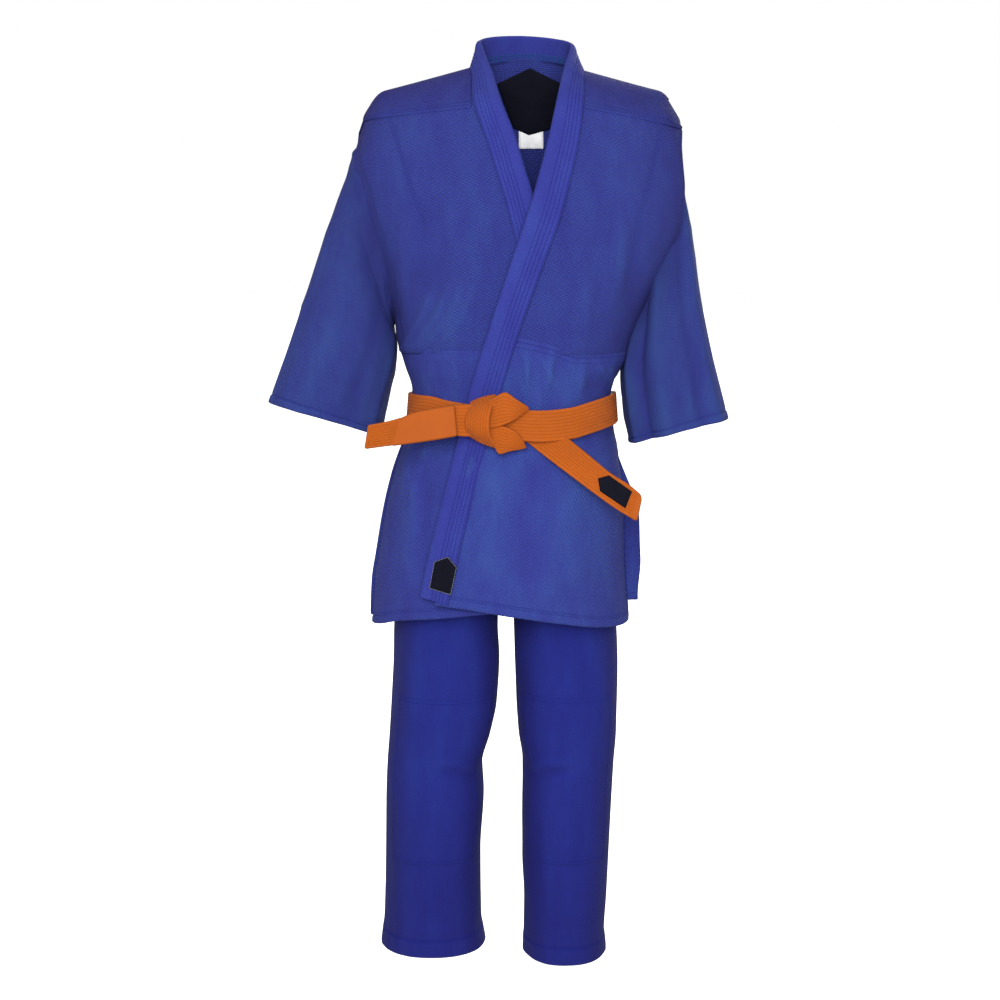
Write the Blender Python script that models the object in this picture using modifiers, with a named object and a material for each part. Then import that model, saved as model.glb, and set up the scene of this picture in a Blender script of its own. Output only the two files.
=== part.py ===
"""Judo uniform, worn shape: crossed jacket, tied belt and straight trousers.

Metres, +Z up, +X to the wearer's left, the front faces -Y.  The origin is the
middle of the neck opening, level with the seams where the shoulders meet the
collar.  Every cloth piece is an open surface given its thickness by Solidify.
"""
import math

import bmesh
import bpy
import numpy as np
from mathutils import Vector

# ---------------------------------------------------------------- sizes
CLOTH = 0.003            # rice-grain jacket cloth, with its lining
THIN_CLOTH = 0.0024      # trouser canvas
BAND_COVER = 0.0020      # ribbed cover of the collar band
BAND_CORE = 0.0016       # folded canvas core inside the collar band
BELT_WIDTH = 0.040
BELT_CLOTH = 0.0030
LAYER_GAP = 0.0020       # between layers that share their division
FACET_GAP = 0.0022       # between layers whose divisions differ

SHOULDER_TOP = 0.012     # height of the shoulder line at the middle of the neck
SHOULDER_SLOPE = 0.27    # fall of the shoulder line per metre outwards
SHOULDER_ROUND = 0.060   # height over which the shoulder turns into the chest
TORSO_POWER = 2.3        # 2 is an ellipse, more is squarer
RIDGE_GAP = 0.0005       # front and back stop this far below the shoulder line
ARMPIT_Z = -0.345
ARMHOLE_DEPTH = 0.058
FLAP_HINGE_Z = -0.640    # where the skirt flaps turn up, below the belt ends
FRONT_HEM_Z = -0.752
BACK_HEM_Z = -0.762
FLAP_HINGE_Y = 0.152

OUTER_PANEL = 0.0160     # how far the outer front lies in front of the inner one
NECK_X = 0.018
TROUSER_TOP_Z = -0.430
CROTCH_Z = -0.700
KNEE_Z = -0.985
TROUSER_HEM_Z = -1.262

# height: middle, half width, front depth, back depth
TORSO = [
    (0.000, 0.018, 0.206, 0.055, 0.070),
    (-0.055, 0.012, 0.206, 0.086, 0.088),
    (-0.119, 0.010, 0.221, 0.104, 0.102),
    (-0.184, 0.017, 0.217, 0.114, 0.111),
    (-0.267, 0.017, 0.195, 0.120, 0.110),
    (-0.341, 0.009, 0.172, 0.119, 0.104),
    (-0.380, 0.003, 0.162, 0.117, 0.100),
    (-0.428, 0.000, 0.149, 0.112, 0.096),
    (-0.443, 0.000, 0.1345, 0.108, 0.094),
    (-0.516, -0.001, 0.1345, 0.108, 0.094),
    (-0.530, -0.004, 0.149, 0.114, 0.102),
    (-0.570, -0.008, 0.160, 0.121, 0.112),
    (-0.620, -0.010, 0.166, 0.126, 0.122),
    (-0.680, -0.0145, 0.1735, 0.131, 0.129),
    (-0.720, -0.017, 0.180, 0.134, 0.132),
    (-0.765, -0.016, 0.181, 0.136, 0.134),
]
# the jacket's pieces share these divisions, so that layers don't cross
UPPER_LEVELS = [-0.012, -0.055, -0.087, -0.119, -0.184, -0.267, -0.341, -0.380, -0.395]
LOWER_LEVELS = [-0.3956, -0.428, -0.443, -0.516, -0.530, -0.570, -0.620,
                FLAP_HINGE_Z + 0.0004]
FLAP_LEVELS = [FLAP_HINGE_Z - 0.0004, -0.680, -0.720, FRONT_HEM_Z]
# trousers above the crotch: height, middle, half width, front depth, back depth
HIPS = [
    (-0.430, 0.000, 0.1240, 0.098, 0.084),
    (-0.520, -0.001, 0.1240, 0.098, 0.084),
    (-0.620, -0.006, 0.138, 0.104, 0.100),
    (-0.700, -0.009, 0.150, 0.106, 0.104),
]
# a trouser leg: height, outer edge, inner edge, front depth, back depth
RIGHT_LEG = [
    (-0.7012, -0.157, -0.016, 0.102, 0.100),
    (-0.790, -0.167, -0.019, 0.095, 0.097),
    (-0.860, -0.170, -0.017, 0.090, 0.094),
    (-0.943, -0.176, -0.030, 0.086, 0.090),
    (-0.990, -0.179, -0.042, 0.085, 0.088),
    (-1.100, -0.182, -0.044, 0.082, 0.086),
    (-1.200, -0.184, -0.045, 0.080, 0.084),
    (-1.262, -0.190, -0.039, 0.079, 0.083),
]
LEFT_LEG = [
    (-0.7012, 0.141, 0.001, 0.102, 0.100),
    (-0.790, 0.149, 0.003, 0.095, 0.097),
    (-0.860, 0.151, 0.006, 0.090, 0.094),
    (-0.943, 0.150, 0.011, 0.086, 0.090),
    (-0.990, 0.147, 0.016, 0.085, 0.088),
    (-1.100, 0.141, 0.015, 0.082, 0.086),
    (-1.200, 0.137, 0.018, 0.080, 0.084),
    (-1.262, 0.136, 0.018, 0.079, 0.083),
]
LEG_MIDDLE_Y = 0.004
# middle line of the lapels: height, x
OUTER_LAPEL = [
    (0.000, 0.088), (-0.050, 0.085), (-0.100, 0.074), (-0.150, 0.060), (-0.207, 0.040),
    (-0.270, 0.016), (-0.340, -0.007), (-0.444, -0.038), (-0.540, -0.065),
    (-0.600, -0.079), (-0.650, -0.089), (-0.735, -0.105),
]
INNER_LAPEL = [
    (0.000, -0.050), (-0.068, -0.034), (-0.125, -0.0125), (-0.169, 0.001),
    (-0.227, 0.021), (-0.340, 0.043), (-0.500, 0.056), (-0.735, 0.066),
]
LAPEL_HALF = 0.0235
# sleeves: share of the length, outer edge x and z, inner edge x and z, half depth
RIGHT_SLEEVE = [
    (0.00, -0.202, -0.052, -0.174, -0.345, 0.058),
    (0.12, -0.223, -0.115, -0.172, -0.362, 0.062),
    (0.36, -0.254, -0.215, -0.169, -0.390, 0.070),
    (0.56, -0.281, -0.298, -0.171, -0.428, 0.072),
    (0.77, -0.310, -0.381, -0.178, -0.468, 0.068),
    (1.00, -0.341, -0.470, -0.186, -0.516, 0.062),
]
LEFT_SLEEVE = [
    (0.00, 0.226, -0.052, 0.192, -0.345, 0.058),
    (0.12, 0.238, -0.115, 0.184, -0.366, 0.062),
    (0.36, 0.250, -0.215, 0.170, -0.400, 0.070),
    (0.56, 0.263, -0.305, 0.160, -0.440, 0.072),
    (0.77, 0.279, -0.395, 0.161, -0.478, 0.068),
    (1.00, 0.303, -0.492, 0.167, -0.526, 0.062),
]
SLEEVE_MIDDLE_Y = 0.006
CUFF_SHARE = 0.93        # the cuff's hem band starts here along the sleeve

BELT_FRONT_Z = -0.489
BELT_RISE = 0.024        # the belt sits this much higher at the back
KNOT_FRONT_Y = -0.1455

# ---------------------------------------------------------------- colours
JACKET_BLUE = (0.041, 0.052, 0.287, 1.0)
SHADE_BLUE = (0.033, 0.029, 0.248, 1.0)
BAND_BLUE = (0.046, 0.076, 0.361, 1.0)
TROUSER_BLUE = (0.020, 0.026, 0.215, 1.0)
CORE_WHITE = (0.62, 0.61, 0.58, 1.0)
BELT_ORANGE = (0.50, 0.112, 0.008, 1.0)
BELT_LIGHT = (0.56, 0.125, 0.009, 1.0)
PATCH_BLACK = (0.009, 0.011, 0.016, 1.0)
LABEL_WHITE = (0.82, 0.82, 0.84, 1.0)

# ---------------------------------------------------------------- scene
for old in list(bpy.data.objects):
    bpy.data.objects.remove(old, do_unlink=True)
uniform = bpy.data.collections.new("martial_arts_uniform")
bpy.context.scene.collection.children.link(uniform)


def material(name, colour, roughness):
    """A cloth material of one colour."""
    found = bpy.data.materials.get(name)
    if found:
        return found
    made = bpy.data.materials.new(name)
    made.use_nodes = True
    shader = made.node_tree.nodes["Principled BSDF"]
    shader.inputs["Base Color"].default_value = colour
    shader.inputs["Roughness"].default_value = roughness
    shader.inputs["Metallic"].default_value = 0.0
    made.diffuse_color = colour
    return made


def pivot(name, place):
    """An empty on a joint's axis, which the moving pieces hang from."""
    empty = bpy.data.objects.new(name, None)
    empty.location = place
    empty.empty_display_size = 0.03
    uniform.objects.link(empty)
    return empty


def between(rows, z, column):
    """Read one column of a table at height z."""
    heights = [-row[0] for row in rows]
    return float(np.interp(-z, heights, [row[column] for row in rows]))


def share(low, high, part):
    return low + (high - low) * part


# ---------------------------------------------------------------- torso form
def shoulder_line(x, proud=0.0):
    return SHOULDER_TOP - SHOULDER_SLOPE * abs(x - NECK_X * 0.7) + proud


def armhole_half_depth(z):
    top = shoulder_line(NECK_X * 0.7 + 0.206)
    middle = 0.5 * (top + ARMPIT_Z)
    reach = 0.5 * (top - ARMPIT_Z)
    inside = 1.0 - ((z - middle) / reach) ** 2
    return ARMHOLE_DEPTH * math.sqrt(max(0.0, inside))


def torso_y(x, z, face, proud=0.0, side_proud=0.0):
    """Depth of the jacket's outer surface; face is -1 at the front, 1 at the back."""
    middle = between(TORSO, z, 1)
    limit = between(TORSO, z, 2) + side_proud
    depth = between(TORSO, z, 3 if face < 0 else 4) + proud
    rise = (shoulder_line(x, side_proud) - z) / SHOULDER_ROUND
    turn = math.sqrt(max(0.0, 1.0 - (1.0 - min(max(rise, 0.0), 1.0)) ** 2))
    open_part = 0.0
    if z > ARMPIT_Z and turn > 0.0:
        open_part = min(0.9, armhole_half_depth(z) / (depth * turn)) ** TORSO_POWER
    full = limit / (1.0 - open_part) ** (1.0 / TORSO_POWER)
    across = min(abs(x - middle) / full, 1.0) ** TORSO_POWER
    return face * depth * turn * max(0.0, 1.0 - across) ** (1.0 / TORSO_POWER)


def torso_point(x, z, face, proud=0.0, side_proud=0.0):
    return (x, torso_y(x, z, face, proud, side_proud), z)


# ---------------------------------------------------------------- building
def finish(name, bm, inside, thickness, side, look, parent=None):
    """Give an open surface its thickness.  side is 1 outwards, -1 inwards."""
    bmesh.ops.remove_doubles(bm, verts=bm.verts, dist=1e-5)
    bmesh.ops.dissolve_degenerate(bm, edges=bm.edges, dist=1e-5)
    bm.normal_update()
    middle = Vector(inside)
    lean = sum(f.normal.dot(f.calc_center_median() - middle) * f.calc_area() for f in bm.faces)
    if lean < 0.0:
        bmesh.ops.reverse_faces(bm, faces=bm.faces)
    mesh = bpy.data.meshes.new(name)
    shift = parent.location if parent else Vector((0.0, 0.0, 0.0))
    bmesh.ops.translate(bm, verts=bm.verts, vec=-Vector(shift))
    bm.to_mesh(mesh)
    bm.free()
    piece = bpy.data.objects.new(name, mesh)
    uniform.objects.link(piece)
    if parent:
        piece.parent = parent
    shell = piece.modifiers.new("thickness", "SOLIDIFY")
    shell.thickness = thickness
    shell.offset = side
    shell.use_even_offset = False
    mesh.materials.append(look)
    mesh.shade_smooth()
    mesh.set_sharp_from_angle(angle=math.radians(40))
    return piece


def grid(name, rows, columns, place, look, inside, thickness=CLOTH, side=-1, parent=None,
         closed=False):
    """A net of points from place(row share, column share)."""
    bm = bmesh.new()
    across = columns if closed else columns + 1
    net = []
    for row in range(rows + 1):
        line = []
        for column in range(across):
            line.append(bm.verts.new(place(row / rows, column / columns)))
        net.append(line)
    for row in range(rows):
        for column in range(columns):
            following = (column + 1) % across
            corners = (net[row][column], net[row][following],
                       net[row + 1][following], net[row + 1][column])
            bm.faces.new(corners)
    return finish(name, bm, inside, thickness, side, look, parent)


def tilt_z(z_flat, x, part):
    """Blend a level row into the shoulder line towards the top of a panel."""
    return share(shoulder_line(x) - RIDGE_GAP, z_flat, min(1.0, part))


def level_at(levels, down):
    return levels[round(down * (len(levels) - 1))]


SIDE_TURN = 0.985        # how near a panel comes to the side seam, as a share
COLLAR_LEAN = 0.24       # the collar leans in towards the neck by this share
COLLAR_CLEAR = 0.024     # the fronts' top corners stop this far outside the collar


def back_place(levels, proud=0.0, side_proud=0.0):
    """The back, row by row; the first level above the armhole is the shoulder line."""
    def place(down, across):
        turn = (2.0 * across - 1.0) * SIDE_TURN
        level = level_at(levels, down)
        middle = between(TORSO, level, 1)
        half = between(TORSO, level, 2) + side_proud
        x = middle + half * math.sin(turn * math.pi / 2)
        z = level
        if levels[0] > ARMPIT_Z:
            z = tilt_z(level, x, 3.0 * down)
            if abs(x - NECK_X) < 0.078:
                z = min(z, -0.014)
        return torso_point(x, z, 1, proud, side_proud)
    return place


def front_place(line, hand, levels, proud=0.0):
    """One front, from the middle of its lapel to the side seam on hand."""
    def place(down, across):
        level = level_at(levels, down)
        middle = between(TORSO, level, 1)
        half = between(TORSO, level, 2)
        lapel = between(line, level, 1) + hand * COLLAR_CLEAR * max(0.0, 1.0 + level / 0.045)
        turn = math.asin(max(-1.0, min(1.0, hand * (lapel - middle) / half)))
        x = middle + hand * half * math.sin(share(turn, SIDE_TURN * math.pi / 2, across))
        z = level
        if levels[0] > ARMPIT_Z:
            z = tilt_z(level, x, 3.0 * down)
        return torso_point(x, z, -1, proud)
    return place


def build_jacket_body():
    """Back, two crossed fronts, the parts below the waist seam, and the yokes."""
    cloth = material("jacket_rice_grain", JACKET_BLUE, 0.85)
    low_cloth = material("jacket_diamond_weave", SHADE_BLUE, 0.88)
    middle = (0.0, 0.0, -0.3)
    low = (0.0, 0.0, -0.52)
    upper = len(UPPER_LEVELS) - 1
    lower = len(LOWER_LEVELS) - 1
    grid("back_upper", upper, 12, back_place(UPPER_LEVELS), cloth, middle)
    grid("right_front_upper", upper, 8, front_place(INNER_LAPEL, -1, UPPER_LEVELS), cloth,
         middle)
    grid("left_front_upper", upper, 8, front_place(OUTER_LAPEL, 1, UPPER_LEVELS, OUTER_PANEL),
         cloth, middle)
    grid("back_lower", lower, 12, back_place(LOWER_LEVELS), low_cloth, low)
    grid("right_front_lower", lower, 10, front_place(INNER_LAPEL, -1, LOWER_LEVELS), low_cloth,
         low)
    grid("left_front_lower", lower, 10, front_place(OUTER_LAPEL, 1, LOWER_LEVELS, OUTER_PANEL),
         low_cloth, low)
    for name, hand in (("right_shoulder_yoke", -1), ("left_shoulder_yoke", 1)):
        build_yoke(name, hand, material("shoulder_yoke_cloth", JACKET_BLUE, 0.85))


def build_yoke(name, hand, look):
    """Second layer over one shoulder, from the chest over the ridge to the back."""
    lift = 2.0 * FACET_GAP
    start = 0.106 if hand > 0 else 0.088
    proud = OUTER_PANEL + lift if hand > 0 else lift

    def place(down, across):
        reach = 2.0 * down - 1.0
        face = -1 if reach < 0 else 1
        x = NECK_X * 0.7 + hand * share(start, 0.186, across)
        top = shoulder_line(x) + lift
        z = share(top, -0.078 if face < 0 else -0.095, abs(reach) ** 1.6)
        forward = proud if face < 0 else lift
        middle = between(TORSO, z, 1)
        limit = between(TORSO, z, 2) + 0.004
        depth = between(TORSO, z, 3 if face < 0 else 4) + forward
        rise = min((top - z) / SHOULDER_ROUND, 1.0)
        turn = math.sqrt(max(0.0, 1.0 - (1.0 - rise) ** 2))
        wide = limit * 1.06
        round_off = (1.0 - min(abs(x - middle) / wide, 1.0) ** TORSO_POWER) ** (1 / TORSO_POWER)
        return (x, face * depth * turn * round_off, z)
    grid(name, 14, 3, place, look, (hand * 0.13, 0.0, -0.12), 0.0018, 1)


def build_flaps():
    """The three skirt flaps, which turn up along the line above the side slits."""
    cloth = material("jacket_diamond_weave", SHADE_BLUE, 0.88)
    low = (0.0, 0.0, -0.7)
    front_pivot = pivot("front_flap_hinge", (0.0, -FLAP_HINGE_Y, FLAP_HINGE_Z))
    inner_pivot = pivot("inner_flap_hinge", (0.0, -FLAP_HINGE_Y, FLAP_HINGE_Z))
    back_pivot = pivot("back_flap_hinge", (0.0, FLAP_HINGE_Y - 0.012, FLAP_HINGE_Z))
    back_levels = FLAP_LEVELS[:-1] + [BACK_HEM_Z]
    grid("outer_flap", 3, 10, front_place(OUTER_LAPEL, 1, FLAP_LEVELS, OUTER_PANEL), cloth, low,
         parent=front_pivot)
    grid("inner_flap", 3, 10, front_place(INNER_LAPEL, -1, FLAP_LEVELS), cloth, low,
         parent=inner_pivot)
    grid("back_flap", 3, 12, back_place(back_levels, 0.0, 0.010), cloth, low,
         parent=back_pivot)
    return front_pivot, inner_pivot, back_pivot


def lapel_place(line, levels, proud, width_share=1.0):
    """A strip along a lapel's middle line, lying on its front."""
    def place(down, across):
        z = level_at(levels, down)
        step = 0.004
        slope = (between(line, z + step, 1) - between(line, z - step, 1)) / (2 * step)
        half = LAPEL_HALF * width_share * math.sqrt(1.0 + slope * slope)
        x = between(line, z, 1) + half * (2.0 * across - 1.0)
        return torso_point(x, z, -1, proud, 0.004)
    return place


def build_collar(front_pivot, inner_pivot):
    """The long band round the neck and down both fronts: cover over core."""
    cover = material("collar_band_cover", BAND_BLUE, 0.7)
    core = material("collar_band_core", CORE_WHITE, 0.9)
    chest = (0.0, 0.0, -0.3)
    low = (0.0, 0.0, -0.68)
    core_at = FACET_GAP
    cover_at = core_at + BAND_CORE + LAYER_GAP
    upper = [-0.036] + UPPER_LEVELS[1:] + LOWER_LEVELS[1:]
    tail = FLAP_LEVELS[:-1] + [FRONT_HEM_Z + 0.006]
    for word, line, base in (("outer", OUTER_LAPEL, OUTER_PANEL), ("inner", INNER_LAPEL, 0.0)):
        hinge = front_pivot if word == "outer" else inner_pivot
        for part, at, thick, look, wide in (("core", core_at, BAND_CORE, core, 0.8),
                                            ("cover", cover_at, BAND_COVER, cover, 1.0)):
            grid(f"{word}_lapel_{part}", len(upper) - 1, 2,
                 lapel_place(line, upper, base + at, wide), look, chest, thick, 1)
            grid(f"{word}_lapel_tail_{part}", len(tail) - 1, 2,
                 lapel_place(line, tail, base + at, wide), look, low, thick, 1, hinge)
    for part, inset, thick, look in (("cover", 0.0, BAND_COVER, cover),
                                     ("core", BAND_COVER + LAYER_GAP, BAND_CORE, core)):
        def place(up, around, inset=inset):
            angle = math.pi * share(-0.06, 1.06, around)
            behind = math.sin(max(0.0, min(angle, math.pi)))
            lift = share(inset, 0.046 - inset, up)
            lean = COLLAR_LEAN * lift
            foot = 0.004 * behind - 0.008
            side_fall = 0.016 * up * (1.0 - behind) ** 2
            return (NECK_X - (0.079 - inset - lean) * math.cos(angle),
                    (0.064 - inset - 0.3 * lean) * math.sin(angle), foot + lift - side_fall)
        grid(f"collar_back_{part}", 2, 16, place, look, (NECK_X, 0.0, 0.01), thick, -1)


def build_sleeve(word, table, hand):
    """One wide sleeve, from the armhole to its cuff band."""
    cloth = material("jacket_rice_grain", JACKET_BLUE, 0.85)
    hinge = pivot(f"{word}_sleeve_hinge", (table[0][1], 0.0, table[0][2] + 0.006))

    def read(part, column):
        return float(np.interp(part, [row[0] for row in table], [row[column] for row in table]))

    def section(part, around):
        turn = 2.0 * math.pi * around
        cosine = math.cos(turn)
        sine = math.sin(turn)
        outer = (read(part, 1), read(part, 2))
        inner = (read(part, 3), read(part, 4))
        x = 0.5 * (outer[0] + inner[0]) + 0.5 * (outer[0] - inner[0]) * cosine
        z = 0.5 * (outer[1] + inner[1]) + 0.5 * (outer[1] - inner[1]) * cosine
        y = SLEEVE_MIDDLE_Y + read(part, 5) * sine
        loft = min(1.0, part / 0.3)
        if loft < 1.0:
            hole_z = share(ARMPIT_Z, table[0][2], 0.5 + 0.5 * cosine)
            middle = between(TORSO, hole_z, 1)
            hole_x = middle + hand * (between(TORSO, hole_z, 2) + 0.009)
            hole_y = armhole_half_depth(hole_z) * (1 if sine > 0 else -1)
            loft = loft * loft * (3.0 - 2.0 * loft)
            x = share(hole_x, x, loft)
            y = share(hole_y if abs(sine) > 1e-6 else 0.0, y, loft)
            z = share(hole_z, z, loft)
        clear = between(TORSO, z, 2) + 0.009
        x = between(TORSO, z, 1) + hand * max(clear, hand * (x - between(TORSO, z, 1)))
        return (x, y, z)

    middle = (0.5 * (table[3][1] + table[3][3]), 0.0, 0.5 * (table[3][2] + table[3][4]))
    grid(f"{word}_sleeve", 8, 16, lambda down, around: section(share(0.0, 0.996, down), around),
         cloth, middle, parent=hinge, closed=True)

    def cuff(down, around):
        part = share(CUFF_SHARE, 0.996, down)
        x, y, z = section(part, around)
        centre = Vector((0.5 * (read(part, 1) + read(part, 3)), SLEEVE_MIDDLE_Y,
                         0.5 * (read(part, 2) + read(part, 4))))
        out = (Vector((x, y, z)) - centre).normalized() * (CLOTH + FACET_GAP)
        return (x - out.x, y - out.y, z - out.z)
    grid(f"{word}_cuff_band", 1, 16, cuff, material("cuff_band_cloth", SHADE_BLUE, 0.85), middle,
         0.0018, -1, hinge, True)

    def gusset(down, across):
        z = share(ARMPIT_Z - 0.006, ARMPIT_Z - 0.045, down)
        reach = share(0.012, 0.004, down)
        middle_x = between(TORSO, z, 1)
        y = share(-reach, reach, across)
        return (middle_x + hand * (between(TORSO, z, 2) - CLOTH - FACET_GAP), y, z)
    grid(f"{word}_underarm_gusset", 2, 2, gusset, cloth, (0.0, 0.0, ARMPIT_Z), 0.002, -1)


def ring_point(z, turn, rows, proud, side_proud, power=TORSO_POWER):
    """A point on a level ring; turn runs from 0 at the wearer's left round the back."""
    middle = between(rows, z, 1)
    half = between(rows, z, 2) + side_proud
    cosine = math.cos(turn)
    sine = math.sin(turn)
    depth = between(rows, z, 4) + side_proud if sine > 0 else between(rows, z, 3) + proud
    x = middle + half * math.copysign(abs(cosine) ** (2.0 / power), cosine)
    y = depth * math.copysign(abs(sine) ** (2.0 / power), sine)
    return (x, y, z)


def build_belt():
    """Two wraps, the flat knot and the two free ends."""
    cloth = material("belt_cotton", BELT_ORANGE, 0.6)
    middle = (0.0, 0.0, BELT_FRONT_Z)
    front = OUTER_PANEL + 2.0 * FACET_GAP + BAND_CORE + LAYER_GAP + BAND_COVER
    side = FACET_GAP + 0.0006
    for name, proud, side_proud, drop in (
            ("belt_inner_wrap", front, side, 0.0025),
            ("belt_outer_wrap", front + BELT_CLOTH + LAYER_GAP,
             side + BELT_CLOTH + LAYER_GAP, 0.0)):
        def place(down, around, proud=proud, side_proud=side_proud, drop=drop):
            turn = 2.0 * math.pi * around
            centre = BELT_FRONT_Z + 0.5 * BELT_RISE * (1.0 + math.sin(turn)) - drop
            x, y, _ = ring_point(-0.485, turn, TORSO, proud, side_proud)
            return (x, y, centre + BELT_WIDTH * (0.5 - down))
        grid(name, 1, 40, place, cloth, middle, BELT_CLOTH, 1, None, True)

    def strip(name, points, widths, look, parent=None, thickness=BELT_CLOTH):
        """A flat strip through points; each width is measured across the strip's run."""
        count = len(points) - 1

        def place(along, across):
            step = round(along * count)
            here = Vector(points[step])
            before = Vector(points[max(step - 1, 0)])
            after = Vector(points[min(step + 1, count)])
            run = (after - before).normalized()
            out = Vector((0.0, -1.0, 0.0))
            cross = run.cross(out).normalized()
            return tuple(here + cross * widths[step] * (0.5 - across))
        return grid(name, count, 1, place, look, (points[0][0], 0.0, points[0][2]), thickness,
                    1, parent)

    y = KNOT_FRONT_Y
    strip("knot_bar", [(-0.064, y, -0.482), (-0.040, y - 0.002, -0.482), (-0.030, y - 0.002, -0.482)],
          [0.046, 0.047, 0.047], cloth)
    strip("knot_wrap", [(0.008, y, -0.467), (0.000, y - 0.004, -0.475),
                        (-0.010, y - 0.006, -0.487), (-0.010, y - 0.004, -0.505),
                        (0.004, y, -0.524)],
          [0.030, 0.032, 0.034, 0.034, 0.030], cloth)
    strip("knot_upper_fold", [(-0.022, y - 0.011, -0.464), (0.002, y - 0.012, -0.460),
                              (0.021, y - 0.011, -0.468)],
          [0.018, 0.020, 0.012], cloth)
    left_pivot = pivot("short_end_hinge", (-0.070, y - 0.012, -0.478))
    right_pivot = pivot("long_end_hinge", (0.022, y - 0.012, -0.500))
    strip("belt_end_right", [(-0.071, y - 0.010, -0.478), (-0.100, y - 0.010, -0.484),
                             (-0.135, y - 0.007, -0.491), (-0.156, y - 0.005, -0.496)],
          [0.038, 0.039, 0.036, 0.033], material("belt_label_satin", BELT_LIGHT, 0.5), left_pivot)
    strip("belt_tip_right", [(-0.1568, y - 0.005, -0.4963), (-0.176, y - 0.003, -0.500),
                             (-0.195, y, -0.5005)],
          [0.033, 0.030, 0.029], cloth, left_pivot)
    strip("belt_end_left", [(0.0235, y - 0.010, -0.503), (0.060, y - 0.010, -0.527),
                            (0.100, y - 0.009, -0.557), (0.1545, y - 0.008, -0.5975)],
          [0.040, 0.040, 0.040, 0.040], cloth, right_pivot)
    strip("belt_tip_stitching", [(0.1550, y - 0.008, -0.5979), (0.159, y - 0.008, -0.6008)],
          [0.040, 0.039], material("belt_tip_cotton", BELT_LIGHT, 0.6), right_pivot)
    strip("belt_end_patch", [(0.118, y - 0.0135, -0.5705), (0.127, y - 0.0135, -0.577),
                             (0.146, y - 0.0130, -0.591)],
          [0.020, 0.030, 0.030], material("patch_black", PATCH_BLACK, 0.7), right_pivot, 0.0012)


def build_labels(front_pivot):
    """Plain labels: inside the neck, below it, and at the foot of the lapel."""
    black = material("patch_black", PATCH_BLACK, 0.7)
    white = material("care_label_white", LABEL_WHITE, 0.8)

    def polygon(name, corners, place, look, inside, thickness, parent=None, side=1):
        bm = bmesh.new()
        bm.faces.new([bm.verts.new(place(*corner)) for corner in corners])
        return finish(name, bm, inside, thickness, side, look, parent)

    neck = [(-0.048, -0.030), (0.0, -0.012), (0.048, -0.030), (0.034, -0.094), (0.0, -0.104),
            (-0.034, -0.094)]
    polygon("neck_label", neck, lambda x, z: (x + 0.026, 0.040 - 0.42 * (z + 0.012), z), black,
            (0.02, 0.3, -0.05), 0.0012)
    care = [(-0.017, -0.106), (0.017, -0.106), (0.017, -0.128), (-0.017, -0.128)]
    polygon("care_label", care, lambda x, z: (x + 0.029, 0.040 - 0.42 * (z + 0.012), z), white,
            (0.02, 0.3, -0.05), 0.0008)
    badge_y = -0.1625
    badge = [(-0.0145, -0.026), (-0.0145, 0.018), (0.0, 0.027), (0.0145, 0.018),
             (0.0145, -0.026)]
    turn = math.radians(7)

    def on_lapel(x, z):
        return (-0.0935 + x * math.cos(turn) + z * math.sin(turn), badge_y + 0.010,
                -0.692 + z * math.cos(turn) - x * math.sin(turn))
    polygon("lapel_badge", badge, on_lapel, black, (-0.09, 0.0, -0.69), 0.0012, front_pivot)


def hip_place(top, bottom, proud=0.0):
    def place(down, around):
        turn = 2.0 * math.pi * around
        return ring_point(share(top, bottom, down), turn, HIPS, proud, proud)
    return place


def build_leg(word, table):
    """Thigh, lower leg, knee patch and hem band of one trouser leg."""
    cloth = material("trouser_canvas", TROUSER_BLUE, 0.85)
    band = material("trouser_hem_cloth", TROUSER_BLUE, 0.85)
    knee_back = LEG_MIDDLE_Y + between(table, KNEE_Z, 4) + 0.002
    hinge = pivot(f"{word}_knee_hinge", (0.5 * (between(table, KNEE_Z, 1)
                                                + between(table, KNEE_Z, 2)), knee_back, KNEE_Z))

    def leg(z, turn, inset=0.0):
        outer = between(table, z, 1)
        inner = between(table, z, 2)
        half = 0.5 * abs(outer - inner) - inset
        sine = math.sin(turn)
        cosine = math.cos(turn)
        depth = between(table, z, 3 if sine < 0 else 4) - inset
        x = 0.5 * (outer + inner) + half * math.copysign(abs(cosine) ** 0.95, cosine)
        return (x, LEG_MIDDLE_Y + depth * math.copysign(abs(sine) ** 0.95, sine), z)

    def tube(top, bottom, inset=0.0):
        return lambda down, around: leg(share(top, bottom, down), 2 * math.pi * around, inset)

    centre_x = 0.5 * (between(table, KNEE_Z, 1) + between(table, KNEE_Z, 2))
    above = (centre_x, 0.0, -0.85)
    below = (centre_x, 0.0, -1.12)
    grid(f"{word}_thigh", 4, 16, tube(CROTCH_Z - 0.0012, KNEE_Z + 0.0004), cloth, above,
         THIN_CLOTH, -1, None, True)
    grid(f"{word}_lower_leg", 4, 16, tube(KNEE_Z - 0.0004, TROUSER_HEM_Z), cloth, below,
         THIN_CLOTH, -1, hinge, True)
    grid(f"{word}_hem_band", 1, 16, tube(TROUSER_HEM_Z + 0.028, TROUSER_HEM_Z + 0.001,
                                         THIN_CLOTH + FACET_GAP), band, below, 0.0018, -1, hinge,
         True)

    def patch(top, bottom):
        def place(down, across):
            turn = math.pi * share(1.16, 1.84, across)
            return leg(share(top, bottom, down), turn, -FACET_GAP)
        return place
    patch_look = material("knee_patch_canvas", TROUSER_BLUE, 0.9)
    grid(f"{word}_knee_patch_upper", 2, 6, patch(-0.880, KNEE_Z + 0.0004), patch_look, above,
         0.0015, 1)
    grid(f"{word}_knee_patch_lower", 3, 6, patch(KNEE_Z - 0.0004, -1.120), patch_look, below,
         0.0015, 1, hinge)


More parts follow.
